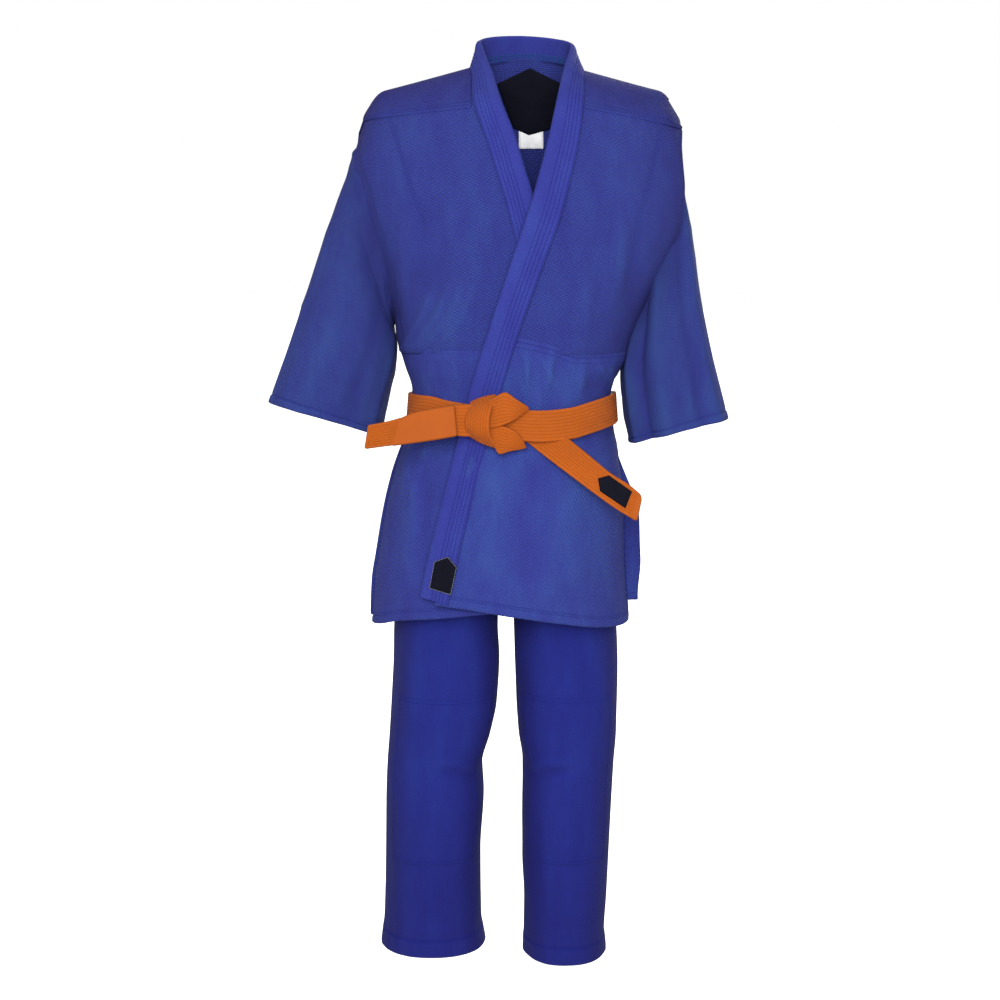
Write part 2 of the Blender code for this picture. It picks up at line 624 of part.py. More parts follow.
def build_trousers():
    cloth = material("trouser_canvas", TROUSER_BLUE, 0.85)
    band = material("waistband_canvas", TROUSER_BLUE, 0.8)
    middle = (0.0, 0.0, -0.58)
    low = TROUSER_TOP_Z - 0.042
    grid("trouser_seat", 4, 24, hip_place(low - 0.0006, CROTCH_Z + 0.0004), cloth, middle,
         THIN_CLOTH, -1, None, True)
    grid("drawstring_tunnel", 1, 24, hip_place(TROUSER_TOP_Z, low), band, middle, 0.0035, -1,
         None, True)

    def gusset(along, across):
        y = share(-0.088, 0.090, along)
        x = -0.0075 + share(-0.0055, 0.0055, across)
        return (x, y, CROTCH_Z - 0.0035 - 0.012 * (1.0 - (y / 0.09) ** 2))
    grid("crotch_gusset", 6, 1, gusset, cloth, (0.0, 0.0, -0.5), 0.002, 1)
    for word, hand in (("right", -1), ("left", 1)):
        def loop(down, across, hand=hand):
            z = share(TROUSER_TOP_Z - 0.003, low + 0.003, down)
            x = hand * 0.045 + 0.008 * (across - 0.5)
            return (x, -(between(HIPS, z, 3) * 0.99), z)
        grid(f"{word}_drawstring_loop", 2, 1, loop, band, middle, 0.0018, 1)
    build_leg("right", RIGHT_LEG)
    build_leg("left", LEFT_LEG)


build_jacket_body()
outer_hinge, inner_hinge, back_hinge = build_flaps()
build_collar(outer_hinge, inner_hinge)
build_sleeve("right", RIGHT_SLEEVE, -1)
build_sleeve("left", LEFT_SLEEVE, 1)
build_belt()
build_labels(outer_hinge)
build_trousers()
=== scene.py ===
"""Judo uniform in its worn shape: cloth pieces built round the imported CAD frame.

Metres, +Z up, +X to the wearer's left, the front faces -Y.
"""
import math

import bpy
import numpy as np
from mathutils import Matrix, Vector


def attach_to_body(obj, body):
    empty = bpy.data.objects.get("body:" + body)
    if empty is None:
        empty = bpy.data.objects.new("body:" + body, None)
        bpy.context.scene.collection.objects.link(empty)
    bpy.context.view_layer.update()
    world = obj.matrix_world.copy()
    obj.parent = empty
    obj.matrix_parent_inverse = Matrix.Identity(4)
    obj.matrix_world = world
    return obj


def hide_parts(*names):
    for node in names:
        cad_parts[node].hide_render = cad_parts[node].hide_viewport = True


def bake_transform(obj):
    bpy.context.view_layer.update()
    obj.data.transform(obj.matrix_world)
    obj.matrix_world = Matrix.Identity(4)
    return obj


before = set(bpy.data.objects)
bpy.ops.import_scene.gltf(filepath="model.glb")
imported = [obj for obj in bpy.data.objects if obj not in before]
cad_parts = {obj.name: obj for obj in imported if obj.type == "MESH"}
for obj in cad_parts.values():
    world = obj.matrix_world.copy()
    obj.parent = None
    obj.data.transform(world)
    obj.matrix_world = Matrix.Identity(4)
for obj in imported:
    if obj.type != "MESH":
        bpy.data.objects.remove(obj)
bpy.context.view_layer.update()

# ------------------------------------------------------------------ sizes
CLOTH = 0.003
CANVAS = 0.0024
BELT_THICK = 0.0042
HAND_RIGHT, HAND_LEFT = -1, 1  # the wearer's hands

NECK_MIDDLE = 0.0126
SHOULDER_TOP = 0.0095
SHOULDER_SLOPE = 0.27
SHOULDER_EDGE = 0.187  # outside this the shoulder line turns down
SHOULDER_DROP = 38.0
SHOULDER_ROUND = 0.06
NECK_HOLE_X = 0.019  # the neck opening in the back
NECK_HOLE_HALF = 0.0725
NECK_HOLE_Z = 0.0115
NECK_HOLE_BACK = 0.0715
POWER = 2.3  # 2 is an ellipse, more is squarer
ARMPIT_Z = -0.345
ARMHOLE_TOP = {HAND_RIGHT: -0.116, HAND_LEFT: -0.086}
ARMHOLE_DEPTH = 0.058
SLEEVE_TUCK = 0.0015  # the sleeve's head starts this far inside the armhole
SLEEVE_HEAD = 0.16  # share of the sleeve in which the head rounds out
CUFF_RISE = 0.0045  # the cuff's front and back hang a little higher
WAIST_SEAM_Z = -0.395
BACK_SEAM_X = 0.018
OUTER_PANEL = 0.016  # the outer front lies this far before the inner one
GRID = 0.003  # the size of a cloth mesh's faces

# height: middle, half width, front depth, back depth
TORSO = [
    (0.0, 0.018, 0.206, 0.055, 0.07),
    (-0.055, 0.0085, 0.2095, 0.086, 0.088),
    (-0.08, 0.0105, 0.2225, 0.094, 0.094),
    (-0.119, 0.0065, 0.2245, 0.104, 0.102),
    (-0.184, 0.017, 0.217, 0.114, 0.111),
    (-0.228, 0.02, 0.208, 0.118, 0.111),
    (-0.267, 0.018, 0.194, 0.12, 0.11),
    (-0.341, 0.009, 0.1745, 0.119, 0.104),
    (-0.38, 0.003, 0.1635, 0.117, 0.1),
    (-0.415, 0.002, 0.152, 0.113, 0.097),
    (-0.45, 0.0, 0.1385, 0.109, 0.094),
    (-0.505, 0.0, 0.14, 0.108, 0.094),
    (-0.53, -0.0035, 0.1495, 0.114, 0.102),
    (-0.57, -0.007, 0.16, 0.121, 0.112),
    (-0.62, -0.011, 0.168, 0.126, 0.122),
    (-0.68, -0.015, 0.1745, 0.131, 0.129),
    (-0.72, -0.017, 0.179, 0.134, 0.132),
    (-0.79, -0.016, 0.183, 0.137, 0.135),
]
# lapels: height, x of the free edge, x of the edge sewn to the front
OUTER_LAPEL = [
    (-0.107, 0.046, 0.09), (-0.191, 0.025, 0.07), (-0.25, 0.0045, 0.05),
    (-0.308, -0.014, 0.028), (-0.361, -0.032, 0.01), (-0.456, -0.0615, -0.0175),
    (-0.524, -0.078, -0.036), (-0.577, -0.091, -0.05), (-0.617, -0.102, -0.06),
    (-0.76, -0.135, -0.092),
]
INNER_LAPEL = [
    (-0.098, 0.001, -0.04), (-0.144, 0.015, -0.025), (-0.177, 0.025, -0.015),
    (-0.23, 0.04, 0.0), (-0.34, 0.063, 0.021), (-0.5, 0.079, 0.036),
    (-0.77, 0.088, 0.045),
]
# the band round the neck: edge sewn to the jacket, free edge
NECK_BAND = [
    ((-0.052, -0.094, -0.064), (-0.015, -0.088, -0.06)),
    ((-0.055, -0.056, -0.03), (-0.027, -0.044, -0.018)),
    ((-0.054, -0.008, -0.011), (-0.041, 0.0, 0.022)),
    ((-0.0485, 0.037, -0.0045), (-0.04, 0.03, 0.0335)),
    ((-0.0225, 0.0612, 0.0035), (-0.019, 0.051, 0.04)),
    ((0.018, 0.07, 0.0075), (0.018, 0.059, 0.0415)),
    ((0.056, 0.061, 0.0045), (0.054, 0.051, 0.0375)),
    ((0.0835, 0.036, -0.004), (0.0765, 0.03, 0.03)),
    ((0.0925, -0.008, -0.012), (0.079, 0.0, 0.018)),
    ((0.095, -0.06, -0.032), (0.069, -0.052, -0.012)),
    ((0.0945, -0.098, -0.06), (0.0585, -0.096, -0.056)),
]
SKY_LIGHT = 0.56
BAND_THICK = 0.0062
BAND_ROWS = 5  # stitched rows on the band's sewn half

# sleeves: share of the length, outer edge x and z, inner edge x and z, half depth
RIGHT_SLEEVE = [
    (0.16, -0.2295, -0.157, -0.167, -0.366, 0.059),
    (0.36, -0.2535, -0.219, -0.1625, -0.39, 0.07),
    (0.56, -0.281, -0.298, -0.165, -0.424, 0.072),
    (0.77, -0.31, -0.381, -0.175, -0.466, 0.068),
    (1.0, -0.3415, -0.4675, -0.1845, -0.5135, 0.062),
]
LEFT_SLEEVE = [
    (0.16, 0.235, -0.16, 0.168, -0.372, 0.062),
    (0.36, 0.248, -0.226, 0.16, -0.396, 0.07),
    (0.56, 0.261, -0.312, 0.152, -0.436, 0.072),
    (0.77, 0.28, -0.398, 0.157, -0.478, 0.068),
    (1.0, 0.3035, -0.4905, 0.167, -0.5245, 0.062),
]
SLEEVE_MIDDLE_Y = 0.004

# trouser legs: height, outer edge, inner edge, front depth, back depth
RIGHT_LEG = [
    (-0.7012, -0.16, -0.018, 0.098, 0.098),
    (-0.79, -0.168, -0.02, 0.093, 0.096),
    (-0.832, -0.169, -0.0175, 0.091, 0.095),
    (-0.899, -0.173, -0.021, 0.088, 0.092),
    (-0.943, -0.176, -0.03, 0.086, 0.09),
    (-0.988, -0.179, -0.042, 0.085, 0.088),
    (-1.032, -0.1805, -0.04, 0.084, 0.087),
    (-1.123, -0.182, -0.045, 0.081, 0.085),
    (-1.214, -0.185, -0.045, 0.08, 0.084),
    (-1.262, -0.19, -0.039, 0.079, 0.083),
]
LEFT_LEG = [
    (-0.7012, 0.141, 0.0, 0.098, 0.098),
    (-0.79, 0.149, 0.003, 0.093, 0.096),
    (-0.854, 0.1515, 0.006, 0.09, 0.094),
    (-0.943, 0.15, 0.01, 0.086, 0.09),
    (-0.988, 0.1465, 0.016, 0.085, 0.088),
    (-1.047, 0.1435, 0.015, 0.083, 0.087),
    (-1.123, 0.14, 0.015, 0.081, 0.085),
    (-1.191, 0.137, 0.0185, 0.08, 0.084),
    (-1.237, 0.1345, 0.018, 0.079, 0.083),
    (-1.27, 0.137, 0.017, 0.079, 0.083),
]
LEG_MIDDLE_Y = 0.004
LEG_TOP_Z = -0.7012
KNEE_TURNS = (0.585, 0.915)  # shares of the way round, from the outer side
KNEE_LEVELS = (-0.88, -1.12)
HIPS = [
    (-0.43, 0.0, 0.124, 0.098, 0.084),
    (-0.52, -0.001, 0.124, 0.098, 0.084),
    (-0.62, -0.006, 0.138, 0.104, 0.1),
    (-0.7, -0.009, 0.15, 0.106, 0.104),
]

# ------------------------------------------------------------------ colours
JACKET_BLUE = (0.028, 0.039, 0.258)
SKIRT_BLUE = (0.027, 0.037, 0.248)
BAND_BLUE = (0.024, 0.0305, 0.232)
TROUSER_BLUE = (0.0095, 0.0155, 0.202)
BELT_ORANGE = (0.52, 0.104, 0.0015)
SATIN_ORANGE = (0.385, 0.076, 0.0015)
PATCH_BLACK = (0.0025, 0.003, 0.008)
LABEL_WHITE = (0.93, 0.93, 0.95)


# ------------------------------------------------------------------ curves
def curve(xs, ys, at):
    """A smooth curve that never overshoots, through (xs, ys), read at places at."""
    xs = np.asarray(xs, float)
    ys = np.asarray(ys, float)
    gap = np.diff(xs)
    slope = np.diff(ys) / gap
    lean = np.empty_like(ys)
    lean[0] = slope[0]
    lean[-1] = slope[-1]
    for i in range(1, len(xs) - 1):
        before, after = slope[i - 1], slope[i]
        lean[i] = 2 * before * after / (before + after) if before * after > 0 else 0.0
    at = np.clip(at, xs[0], xs[-1])
    i = np.clip(np.searchsorted(xs, at) - 1, 0, len(xs) - 2)
    t = (at - xs[i]) / gap[i]
    return ((1 + 2 * t) * (1 - t) ** 2 * ys[i] + t * (1 - t) ** 2 * gap[i] * lean[i]
            + t * t * (3 - 2 * t) * ys[i + 1] + t * t * (t - 1) * gap[i] * lean[i + 1])


def read(rows, z, column):
    """One column of a table whose first column falls in height."""
    return curve([-row[0] for row in rows], [row[column] for row in rows], -np.asarray(z))


def through(points, count):
    """count points at even steps along a smooth line through points (Catmull-Rom)."""
    p = np.asarray(points, float)
    p = np.vstack([2 * p[0] - p[1], p, 2 * p[-1] - p[-2]])
    fine = []
    for i in range(1, len(p) - 2):
        t = np.linspace(0, 1, 24, endpoint=False)[:, None]
        a, b, c, d = p[i - 1:i + 3]
        fine.append(0.5 * (2 * b + (c - a) * t + (2 * a - 5 * b + 4 * c - d) * t ** 2
                           + (3 * b - a - 3 * c + d) * t ** 3))
    fine.append(p[-2][None])
    fine = np.vstack(fine)
    run = run_along(fine)
    at = np.linspace(0, run[-1], count)
    return np.stack([np.interp(at, run, fine[:, k]) for k in range(p.shape[1])], axis=1)


def ease(t):
    t = np.clip(t, 0.0, 1.0)
    return t * t * (3 - 2 * t)


def noise(a, b, seed):
    """Smooth noise from -1 to 1, with one random value to each unit square."""
    net = np.random.default_rng(seed).uniform(-1, 1, (97, 97))
    i, j = np.floor(a).astype(int), np.floor(b).astype(int)
    s, t = ease(a - i), ease(b - j)

    def pick(p, q):
        return net[p % 97, q % 97]
    low = pick(i, j) * (1 - s) + pick(i + 1, j) * s
    high = pick(i, j + 1) * (1 - s) + pick(i + 1, j + 1) * s
    return low * (1 - t) + high * t


def crumple(a, b, cell, seed):
    """Soft creases of cloth: sharp ridges between rounded hollows."""
    bend = 0.6 * cell
    a2 = a + bend * noise(a / cell / 1.7, b / cell / 1.7, seed + 1)
    b2 = b + bend * noise(a / cell / 1.7, b / cell / 1.7, seed + 2)
    large = 1 - 2 * np.abs(noise(a2 / cell, b2 / cell, seed + 3))
    small = 1 - 2 * np.abs(noise(2.3 * a2 / cell, 2.3 * b2 / cell, seed + 4))
    return 0.7 * large + 0.3 * small


# ------------------------------------------------------------------ cloth nets
def normal_of(P, wrap=False):
    """Unit normals of a net of points, rows by columns."""
    down = np.gradient(P, axis=0)
    if wrap:
        across = 0.5 * (np.roll(P, -1, 1) - np.roll(P, 1, 1))
    else:
        across = np.gradient(P, axis=1)
    return unit(np.cross(across, down), 2)


class Net:
    """A piece of cloth: points by row and column, with its flat measures as UV."""

    def __init__(self, P, inside, wrap=False):
        self.P = P
        self.wrap = wrap
        self.straight = normal_of(P, wrap)
        self.face_from(np.asarray(inside))
        self.tone = np.zeros(P.shape[:2])
        across = np.linalg.norm(np.diff(P, axis=1), axis=2)
        down = np.linalg.norm(np.diff(P, axis=0), axis=2)
        u = np.concatenate([np.zeros((len(P), 1)), np.cumsum(across, 1)], 1)
        v = np.concatenate([np.zeros((1, P.shape[1])), np.cumsum(down, 0)], 0)
        self.uv = np.stack([u, -v], axis=2)

    def face_from(self, inside):
        """Turn the outer face away from inside."""
        self.sign = 1.0 if np.sum(self.straight * (self.P - inside)) > 0 else -1.0

    def normal(self):
        return normal_of(self.P, self.wrap) * self.sign

    def push(self, height, tone=0.0):
        """Move the cloth outwards by height, and add tone, which lightens the colour: mostly
        painted light and shade.
        """
        self.P = self.P + self.normal() * height[..., None]
        self.tone = self.tone + tone

    def at(self, rows, columns, lift=0.0002):
        """Points and normals at fractional rows and columns; either may be one number."""
        rows, columns = np.broadcast_arrays(np.asarray(rows, float), np.asarray(columns, float))
        R, C = self.P.shape[:2]
        rows = np.clip(rows, 0, R - 1.001)
        i = rows.astype(int)
        s = (rows - i)[:, None]
        if self.wrap:
            columns = np.mod(columns, C)
            j = columns.astype(int) % C
            k = (j + 1) % C
        else:
            columns = np.clip(columns, 0, C - 1.001)
            j = columns.astype(int)
            k = j + 1
        t = (columns - np.floor(columns))[:, None]
        place, up = ((field[i, j] * (1 - s) + field[i + 1, j] * s) * (1 - t)
                     + (field[i, k] * (1 - s) + field[i + 1, k] * s) * t
                     for field in (self.P, self.normal()))
        return place + up * lift, up


def add_mesh(name, vertices, quads, tips=(), uv=None, tone=None, look=None, rims=None,
             turn_out=False):
    """A smooth mesh of quads and triangles; uv, tone and rims are one value to a vertex.

    Edges between two rim vertices are sharp. turn_out makes the faces of a closed mesh
    look outwards.
    """
    quads = np.asarray(quads, np.int32)
    tips = np.asarray(tips, np.int32).reshape(-1, 3)
    loops = np.concatenate([quads.ravel(), tips.ravel()])
    starts = np.concatenate([np.arange(len(quads)) * 4, quads.size + np.arange(len(tips)) * 3])
    mesh = bpy.data.meshes.new(name)
    mesh.vertices.add(len(vertices))
    mesh.vertices.foreach_set("co", np.asarray(vertices, np.float32).ravel())
    mesh.loops.add(len(loops))
    mesh.loops.foreach_set("vertex_index", loops)
    mesh.polygons.add(len(starts))
    mesh.polygons.foreach_set("loop_start", starts.astype(np.int32))
    mesh.update(calc_edges=True)
    mesh.polygons.foreach_set("use_smooth", [True] * len(starts))
    if uv is not None:
        layer = mesh.uv_layers.new(name="cloth")
        layer.data.foreach_set("uv", np.asarray(uv, np.float32)[loops].ravel())
    if tone is not None:
        made = mesh.attributes.new("tone", "FLOAT", "POINT")
        made.data.foreach_set("value", np.asarray(tone, np.float32))
    if rims is not None:
        ends = np.zeros(len(mesh.edges) * 2, np.int32)
        mesh.edges.foreach_get("vertices", ends)
        sharp = mesh.attributes.new("sharp_edge", "BOOLEAN", "EDGE")
        sharp.data.foreach_set("value", rims[ends.reshape(-1, 2)].all(1))
    if turn_out and face_volume(np.asarray(vertices), quads) < 0:
        mesh.flip_normals()
    mesh.validate()
    if look:
        mesh.materials.append(look)
    piece = bpy.data.objects.new(name, mesh)
    bpy.context.scene.collection.objects.link(piece)
    return piece


def face_volume(v, quads):
    """Signed volume under a closed net, to find which way its faces turn."""
    a, b, c, d = (v[quads[:, k]] for k in range(4))
    centre = v.mean(0)
    return float(np.sum((a - centre) * np.cross(b - centre, c - centre))
                 + np.sum((a - centre) * np.cross(c - centre, d - centre)))


def unit(v, axis=1):
    """Vectors made one long; a zero vector stays zero."""
    return v / np.maximum(np.linalg.norm(v, axis=axis, keepdims=True), 1e-12)


def run_along(line):
    """How far along a line of points each point is."""
    return np.concatenate([[0], np.cumsum(np.linalg.norm(np.diff(line, axis=0), axis=1))])


def net_quads(number):
    """The quads between the rows and columns of a grid of vertex numbers."""
    quads = np.stack([number[:-1, :-1], number[:-1, 1:], number[1:, 1:], number[1:, :-1]], -1)
    return quads.reshape(-1, 4)


def strip_faces(a, b):
    """Quads between two equally long closed lines of vertex numbers."""
    return np.stack([a, np.roll(a, -1), np.roll(b, -1), b], axis=1)


def sew_sheet(name, net, look, thick):
    """A closed cloth mesh with rounded edges: the net is its outer face."""
    outer = net.P.reshape(-1, 3)
    inner = (net.P - net.straight * net.sign * thick).reshape(-1, 3)
    net_uv, net_tone = net.uv.reshape(-1, 2), net.tone.ravel()
    count = len(outer)
    number = np.arange(count).reshape(net.P.shape[:2])
    wide = np.concatenate([number, number[:, :1]], 1) if net.wrap else number
    quads = net_quads(wide)
    if net.sign < 0:
        quads = quads[:, ::-1]
    if net.wrap:
        rims = [(number[0], number[1]), (number[-1][::-1], number[-2][::-1])]
    else:
        border = np.concatenate([number[0], number[1:, -1], number[-1, -2::-1],
                                 number[-2:0:-1, 0]])
        nearer = np.concatenate([number[1], number[1:, -2], number[-2, -2::-1],
                                 number[-2:0:-1, 1]])
        rims = [(border, nearer)]
    vertices, uv, tone = [outer, inner], [net_uv] * 2, [net_tone] * 2
    faces = [quads, quads[:, ::-1] + count]
    base = 2 * count
    for border, nearer in rims:
        out = outer[border] - outer[nearer]
        out /= np.maximum(np.linalg.norm(out, axis=1, keepdims=True), 1e-9)
        vertices.append(0.5 * (outer[border] + inner[border]) + out * thick * 0.45)
        uv.append(net_uv[border])
        tone.append(net_tone[border])
        rim = base + np.arange(len(border))
        for strip in (strip_faces(border, rim), strip_faces(rim, border + count)):
            faces.append(strip[:, ::-1] if net.sign > 0 else strip)
        base += len(border)
    return add_mesh(name, np.vstack(vertices), np.vstack(faces), uv=np.vstack(uv),
                    tone=np.concatenate(tone), look=look)


def dashes(points, normals, step, radius):
    """Stitches along a line: vertices, quads and tips of small tapered threads."""
    points, normals = np.asarray(points), np.asarray(normals)
    run = run_along(points)
    count = max(int(run[-1] / step), 1)
    start = (np.arange(count) + 0.12) * run[-1] / count
    size = 0.76 * run[-1] / count

    def locate(share, field):
        at = start + size * share
        return np.stack([np.interp(at, run, field[:, k]) for k in range(3)], 1)
    along = unit(locate(1.0, points) - locate(0.0, points))
    vertices = []
    for share, wide in ((0.0, 0.0), (0.12, 1.0), (0.5, 1.15), (0.88, 1.0), (1.0, 0.0)):
        place, up = locate(share, points), unit(locate(share, normals))
        side = np.cross(along, up)
        if wide == 0.0:
            vertices.append((place - up * radius * 0.8)[:, None])
        else:
            vertices.append(np.stack([place + side * radius * wide, place + up * radius * wide,
                                      place - side * radius * wide, place - up * radius * wide], 1))
    vertices = np.concatenate(vertices, 1)
    quads, tips = [], []
    for ring in (1, 5):
        for k in range(4):
            a, b = ring + k, ring + (k + 1) % 4
            quads.append((a, b, b + 4, a + 4))
    for k in range(4):
        tips += [(0, 1 + (k + 1) % 4, 1 + k), (13, 9 + k, 9 + (k + 1) % 4)]
    offset = (np.arange(count) * vertices.shape[1])[:, None, None]
    return (vertices.reshape(-1, 3), (np.array(quads) + offset).reshape(-1, 4),
            (np.array(tips) + offset).reshape(-1, 3))


def sew_stitches(name, lines, look, how, step=0.0034, radius=0.00038):
    """One object of stitches along several lines of (points, normals)."""
    vertices, quads, tips, base = [], [], [], 0
    for points, normals in lines:
        v, q, t = dashes(points, normals, step, radius)
        vertices.append(v)
        quads.append(q + base)
        tips.append(t + base)
        base += len(v)
    piece = add_mesh(name, np.vstack(vertices), np.vstack(quads), np.vstack(tips), look=look)
    attach(piece, how)
    return piece


def nearest(a, b, path):
    """Signed distance to a bent line in a plane, and the share along it."""
    path = np.asarray(path, float)
    sizes = np.linalg.norm(np.diff(path, axis=0), axis=1)
    total = sizes.sum()
    best = np.full(np.shape(a), 1e9)
    signed = np.zeros(np.shape(a))
    share = np.zeros(np.shape(a))
    before = 0.0
    for (ax, az), (bx, bz), size in zip(path[:-1], path[1:], sizes):
        dx, dz = (bx - ax) / size, (bz - az) / size
        t = (a - ax) * dx + (b - az) * dz
        held = np.clip(t, 0, size)
        ex, ez = a - ax - held * dx, b - az - held * dz
        distance = np.hypot(ex, ez)
        closer = distance < best
        best = np.where(closer, distance, best)
        signed = np.where(closer, distance * np.sign(dx * ez - dz * ex), signed)
        share = np.where(closer, (before + t) / total, share)
        before += size
    return signed, share


def ridge(a, b, path, width, height, ends=0.25):
    """A rounded fold along a bent line, fading at its ends."""
    d, t = nearest(a, b, path)
    fade = ease((t + 0.02) / ends) * ease((1.02 - t) / ends)
    return height * fade * np.exp(-(d / width) ** 2)


def groove(a, b, path, width, depth, ends=0.02):
    return ridge(a, b, path, width, -depth, ends)


# ------------------------------------------------------------------ materials
class Look:
    """Small helper that strings shader nodes together."""

    def __init__(self, name):
        self.material = bpy.data.materials.new(name)
        self.material.use_nodes = True
        self.tree = self.material.node_tree
        self.shader = self.tree.nodes["Principled BSDF"]

    def add(self, kind, **values):
        made = self.tree.nodes.new(kind)
        for key, value in values.items():
            setattr(made, key, value)
        return made

    def link(self, source, target):
        self.tree.links.new(source, target)

    def math(self, operation, a, b):
        made = self.add("ShaderNodeMath", operation=operation)
        for socket, value in zip(made.inputs, (a, b)):
            if isinstance(value, (int, float)):
                socket.default_value = value
            else:
                self.link(value, socket)
        return made.outputs[0]

    def blended(self, a, share_a, b, share_b):
        """The sum of two values, each times its share."""
        return self.math("ADD", self.math("MULTIPLY", a, share_a),
                         self.math("MULTIPLY", b, share_b))

    def millimetres(self, turn=0.0):
        """The cloth's flat measures in millimetres, turned by some degrees."""
        uv = self.add("ShaderNodeUVMap", uv_map="cloth")
        mapping = self.add("ShaderNodeMapping")
        mapping.inputs["Rotation"].default_value = (0, 0, math.radians(turn))
        mapping.inputs["Scale"].default_value = (1000, 1000, 1)
        self.link(uv.outputs[0], mapping.inputs["Vector"])
        return mapping.outputs[0]

    def tone(self):
        # the tone attribute: mostly painted light and shade on the cloth
        return self.add("ShaderNodeAttribute", attribute_name="tone").outputs["Fac"]

    def weave(self, joint, wide, high, turn=0.0):
        """Raised threads: width and height of one in millimetres, joint between them."""
        brick = self.add("ShaderNodeTexBrick")
        self.link(self.millimetres(turn), brick.inputs["Vector"])
        for key, value in (("Scale", 1.0), ("Mortar Size", joint), ("Mortar Smooth", 1.0),
                           ("Brick Width", wide), ("Row Height", high)):
            brick.inputs[key].default_value = value
        return self.math("SUBTRACT", 1.0, brick.outputs["Fac"])

    def wave(self, direction, scale, turn=0.0, distortion=0.0, detail=2.0):
        made = self.add("ShaderNodeTexWave", wave_type="BANDS", bands_direction=direction)
        self.link(self.millimetres(turn), made.inputs["Vector"])
        made.inputs["Scale"].default_value = scale
        made.inputs["Distortion"].default_value = distortion
        made.inputs["Detail"].default_value = detail
        return made.outputs["Fac"]

    def place(self):
        return self.add("ShaderNodeTexCoord").outputs["Object"]

    def noise(self, vector, scale, detail=3.0, rough=0.55):
        made = self.add("ShaderNodeTexNoise")
        made.inputs["Scale"].default_value = scale
        made.inputs["Detail"].default_value = detail
        made.inputs["Roughness"].default_value = rough
        self.link(vector, made.inputs["Vector"])
        return made.outputs["Fac"]

    def ramp(self, fac, stops):
        made = self.add("ShaderNodeValToRGB")
        element = made.color_ramp.elements
        while len(element) < len(stops):
            element.new(0.5)
        for item, (place, colour) in zip(element, stops):
            item.position = place
            item.color = (*colour, 1.0)
        self.link(fac, made.inputs[0])
        return made.outputs[0]

    def mix(self, fac, a, b, blend="MIX"):
        made = self.add("ShaderNodeMix", data_type="RGBA", blend_type=blend)
        colours = [s for s in made.inputs if s.type == "RGBA"]
        for socket, value in ((made.inputs[0], fac), (colours[0], a), (colours[1], b)):
            if isinstance(value, (int, float)):
                socket.default_value = value
            elif isinstance(value, tuple):
                socket.default_value = (*value, 1.0)
            else:
                self.link(value, socket)
        return [s for s in made.outputs if s.type == "RGBA"][0]

    def times(self, colour, factor):
        """A colour made lighter or darker."""
        return self.mix(1.0, colour, (factor, factor, factor), "MULTIPLY")

    def finish(self, colour, relief, depth, rough, sheen=0.0, tint=(1, 1, 1), shine=0.25):
        """Join colour and relief to the shader; depth is the relief's height in metres."""
        bump = self.add("ShaderNodeBump")
        bump.inputs["Distance"].default_value = depth
        bump.inputs["Strength"].default_value = 1.0
        self.link(relief, bump.inputs["Height"])
        self.link(colour, self.shader.inputs["Base Color"])
        self.link(bump.outputs[0], self.shader.inputs["Normal"])
        for key, value in (("Roughness", rough), ("Sheen Weight", sheen),
                           ("Sheen Roughness", 0.5), ("Sheen Tint", (*tint, 1.0)),
                           ("Specular IOR Level", shine)):
            self.shader.inputs[key].default_value = value
        return self.material


def times(colour, factor, turn=(1.0, 1.0, 1.0)):
    return tuple(c * factor * t for c, t in zip(colour, turn))


def grain_cloth(name, colour, kind):
    """Blue cotton with a woven relief: rice grain, diamond quilting, rib or canvas."""
    look = Look(name)
    if kind == "rice":
        relief, depth = look.weave(0.9, 5.4, 2.5), 0.0014
    elif kind == "diamond":
        relief = look.math("MULTIPLY", look.wave("X", 0.085, 38, 0.6, 1.0),
                           look.wave("X", 0.085, -38, 0.6, 1.0))
        depth = 0.0012
    elif kind == "rib":
        relief, depth = look.wave("Y", 0.16), 0.00035
    else:
        relief, depth = look.weave(0.28, 2.6, 0.9, 32), 0.00035
    stretched = look.add("ShaderNodeMapping")
    stretched.inputs["Scale"].default_value = (34.0, 34.0, 13.0)
    look.link(look.place(), stretched.inputs["Vector"])
    cloud = look.noise(stretched.outputs[0], 1.0, 5.0, 0.62)
    fleck = look.noise(look.millimetres(), 0.35, 3.0, 0.65)
    fibre = look.noise(look.millimetres(), 1.6, 2.0, 0.7)
    # random cloud and fleck mottle the colour, and the tone attribute adds painted light and shade;
    # the ramp runs from a darker, more violet shade colour to a lighter, bluer highlight colour
    level = look.math("ADD", look.blended(cloud, 0.52, fleck, 0.48),
                      look.math("MULTIPLY", look.tone(), 0.5))
    body = look.ramp(level, [(0.18, times(colour, 0.74, (1.0, 0.66, 1.0))),
                             (0.5, colour),
                             (0.84, times(colour, 1.24, (0.98, 1.6, 0.98)))])
    body = look.mix(relief, look.times(body, 0.83), look.times(body, 1.09))
    height = look.math("ADD", relief, look.math("MULTIPLY", fibre, 0.3))
    return look.finish(body, height, depth, 0.88, 0.03, (0.45, 0.55, 1.0))


def belt_cloth(name, colour, depth):
    """Orange cotton or satin, woven finely across the belt."""
    look = Look(name)
    cloud = look.noise(look.place(), 22.0, 4.0, 0.6)
    fleck = look.noise(look.millimetres(), 0.8, 3.0, 0.7)
    body = look.ramp(look.blended(cloud, 0.6, fleck, 0.4),
                     [(0.3, times(colour, 0.88)), (0.52, colour), (0.75, times(colour, 1.1))])
    # the tone attribute darkens the colour towards 0.55 of it: painted shade in the stitched
    # grooves
    body = look.mix(look.tone(), body, times(colour, 0.55))
    return look.finish(body, look.weave(0.16, 1.3, 0.55), depth, 0.62, 0.05, (1.0, 0.8, 0.6))


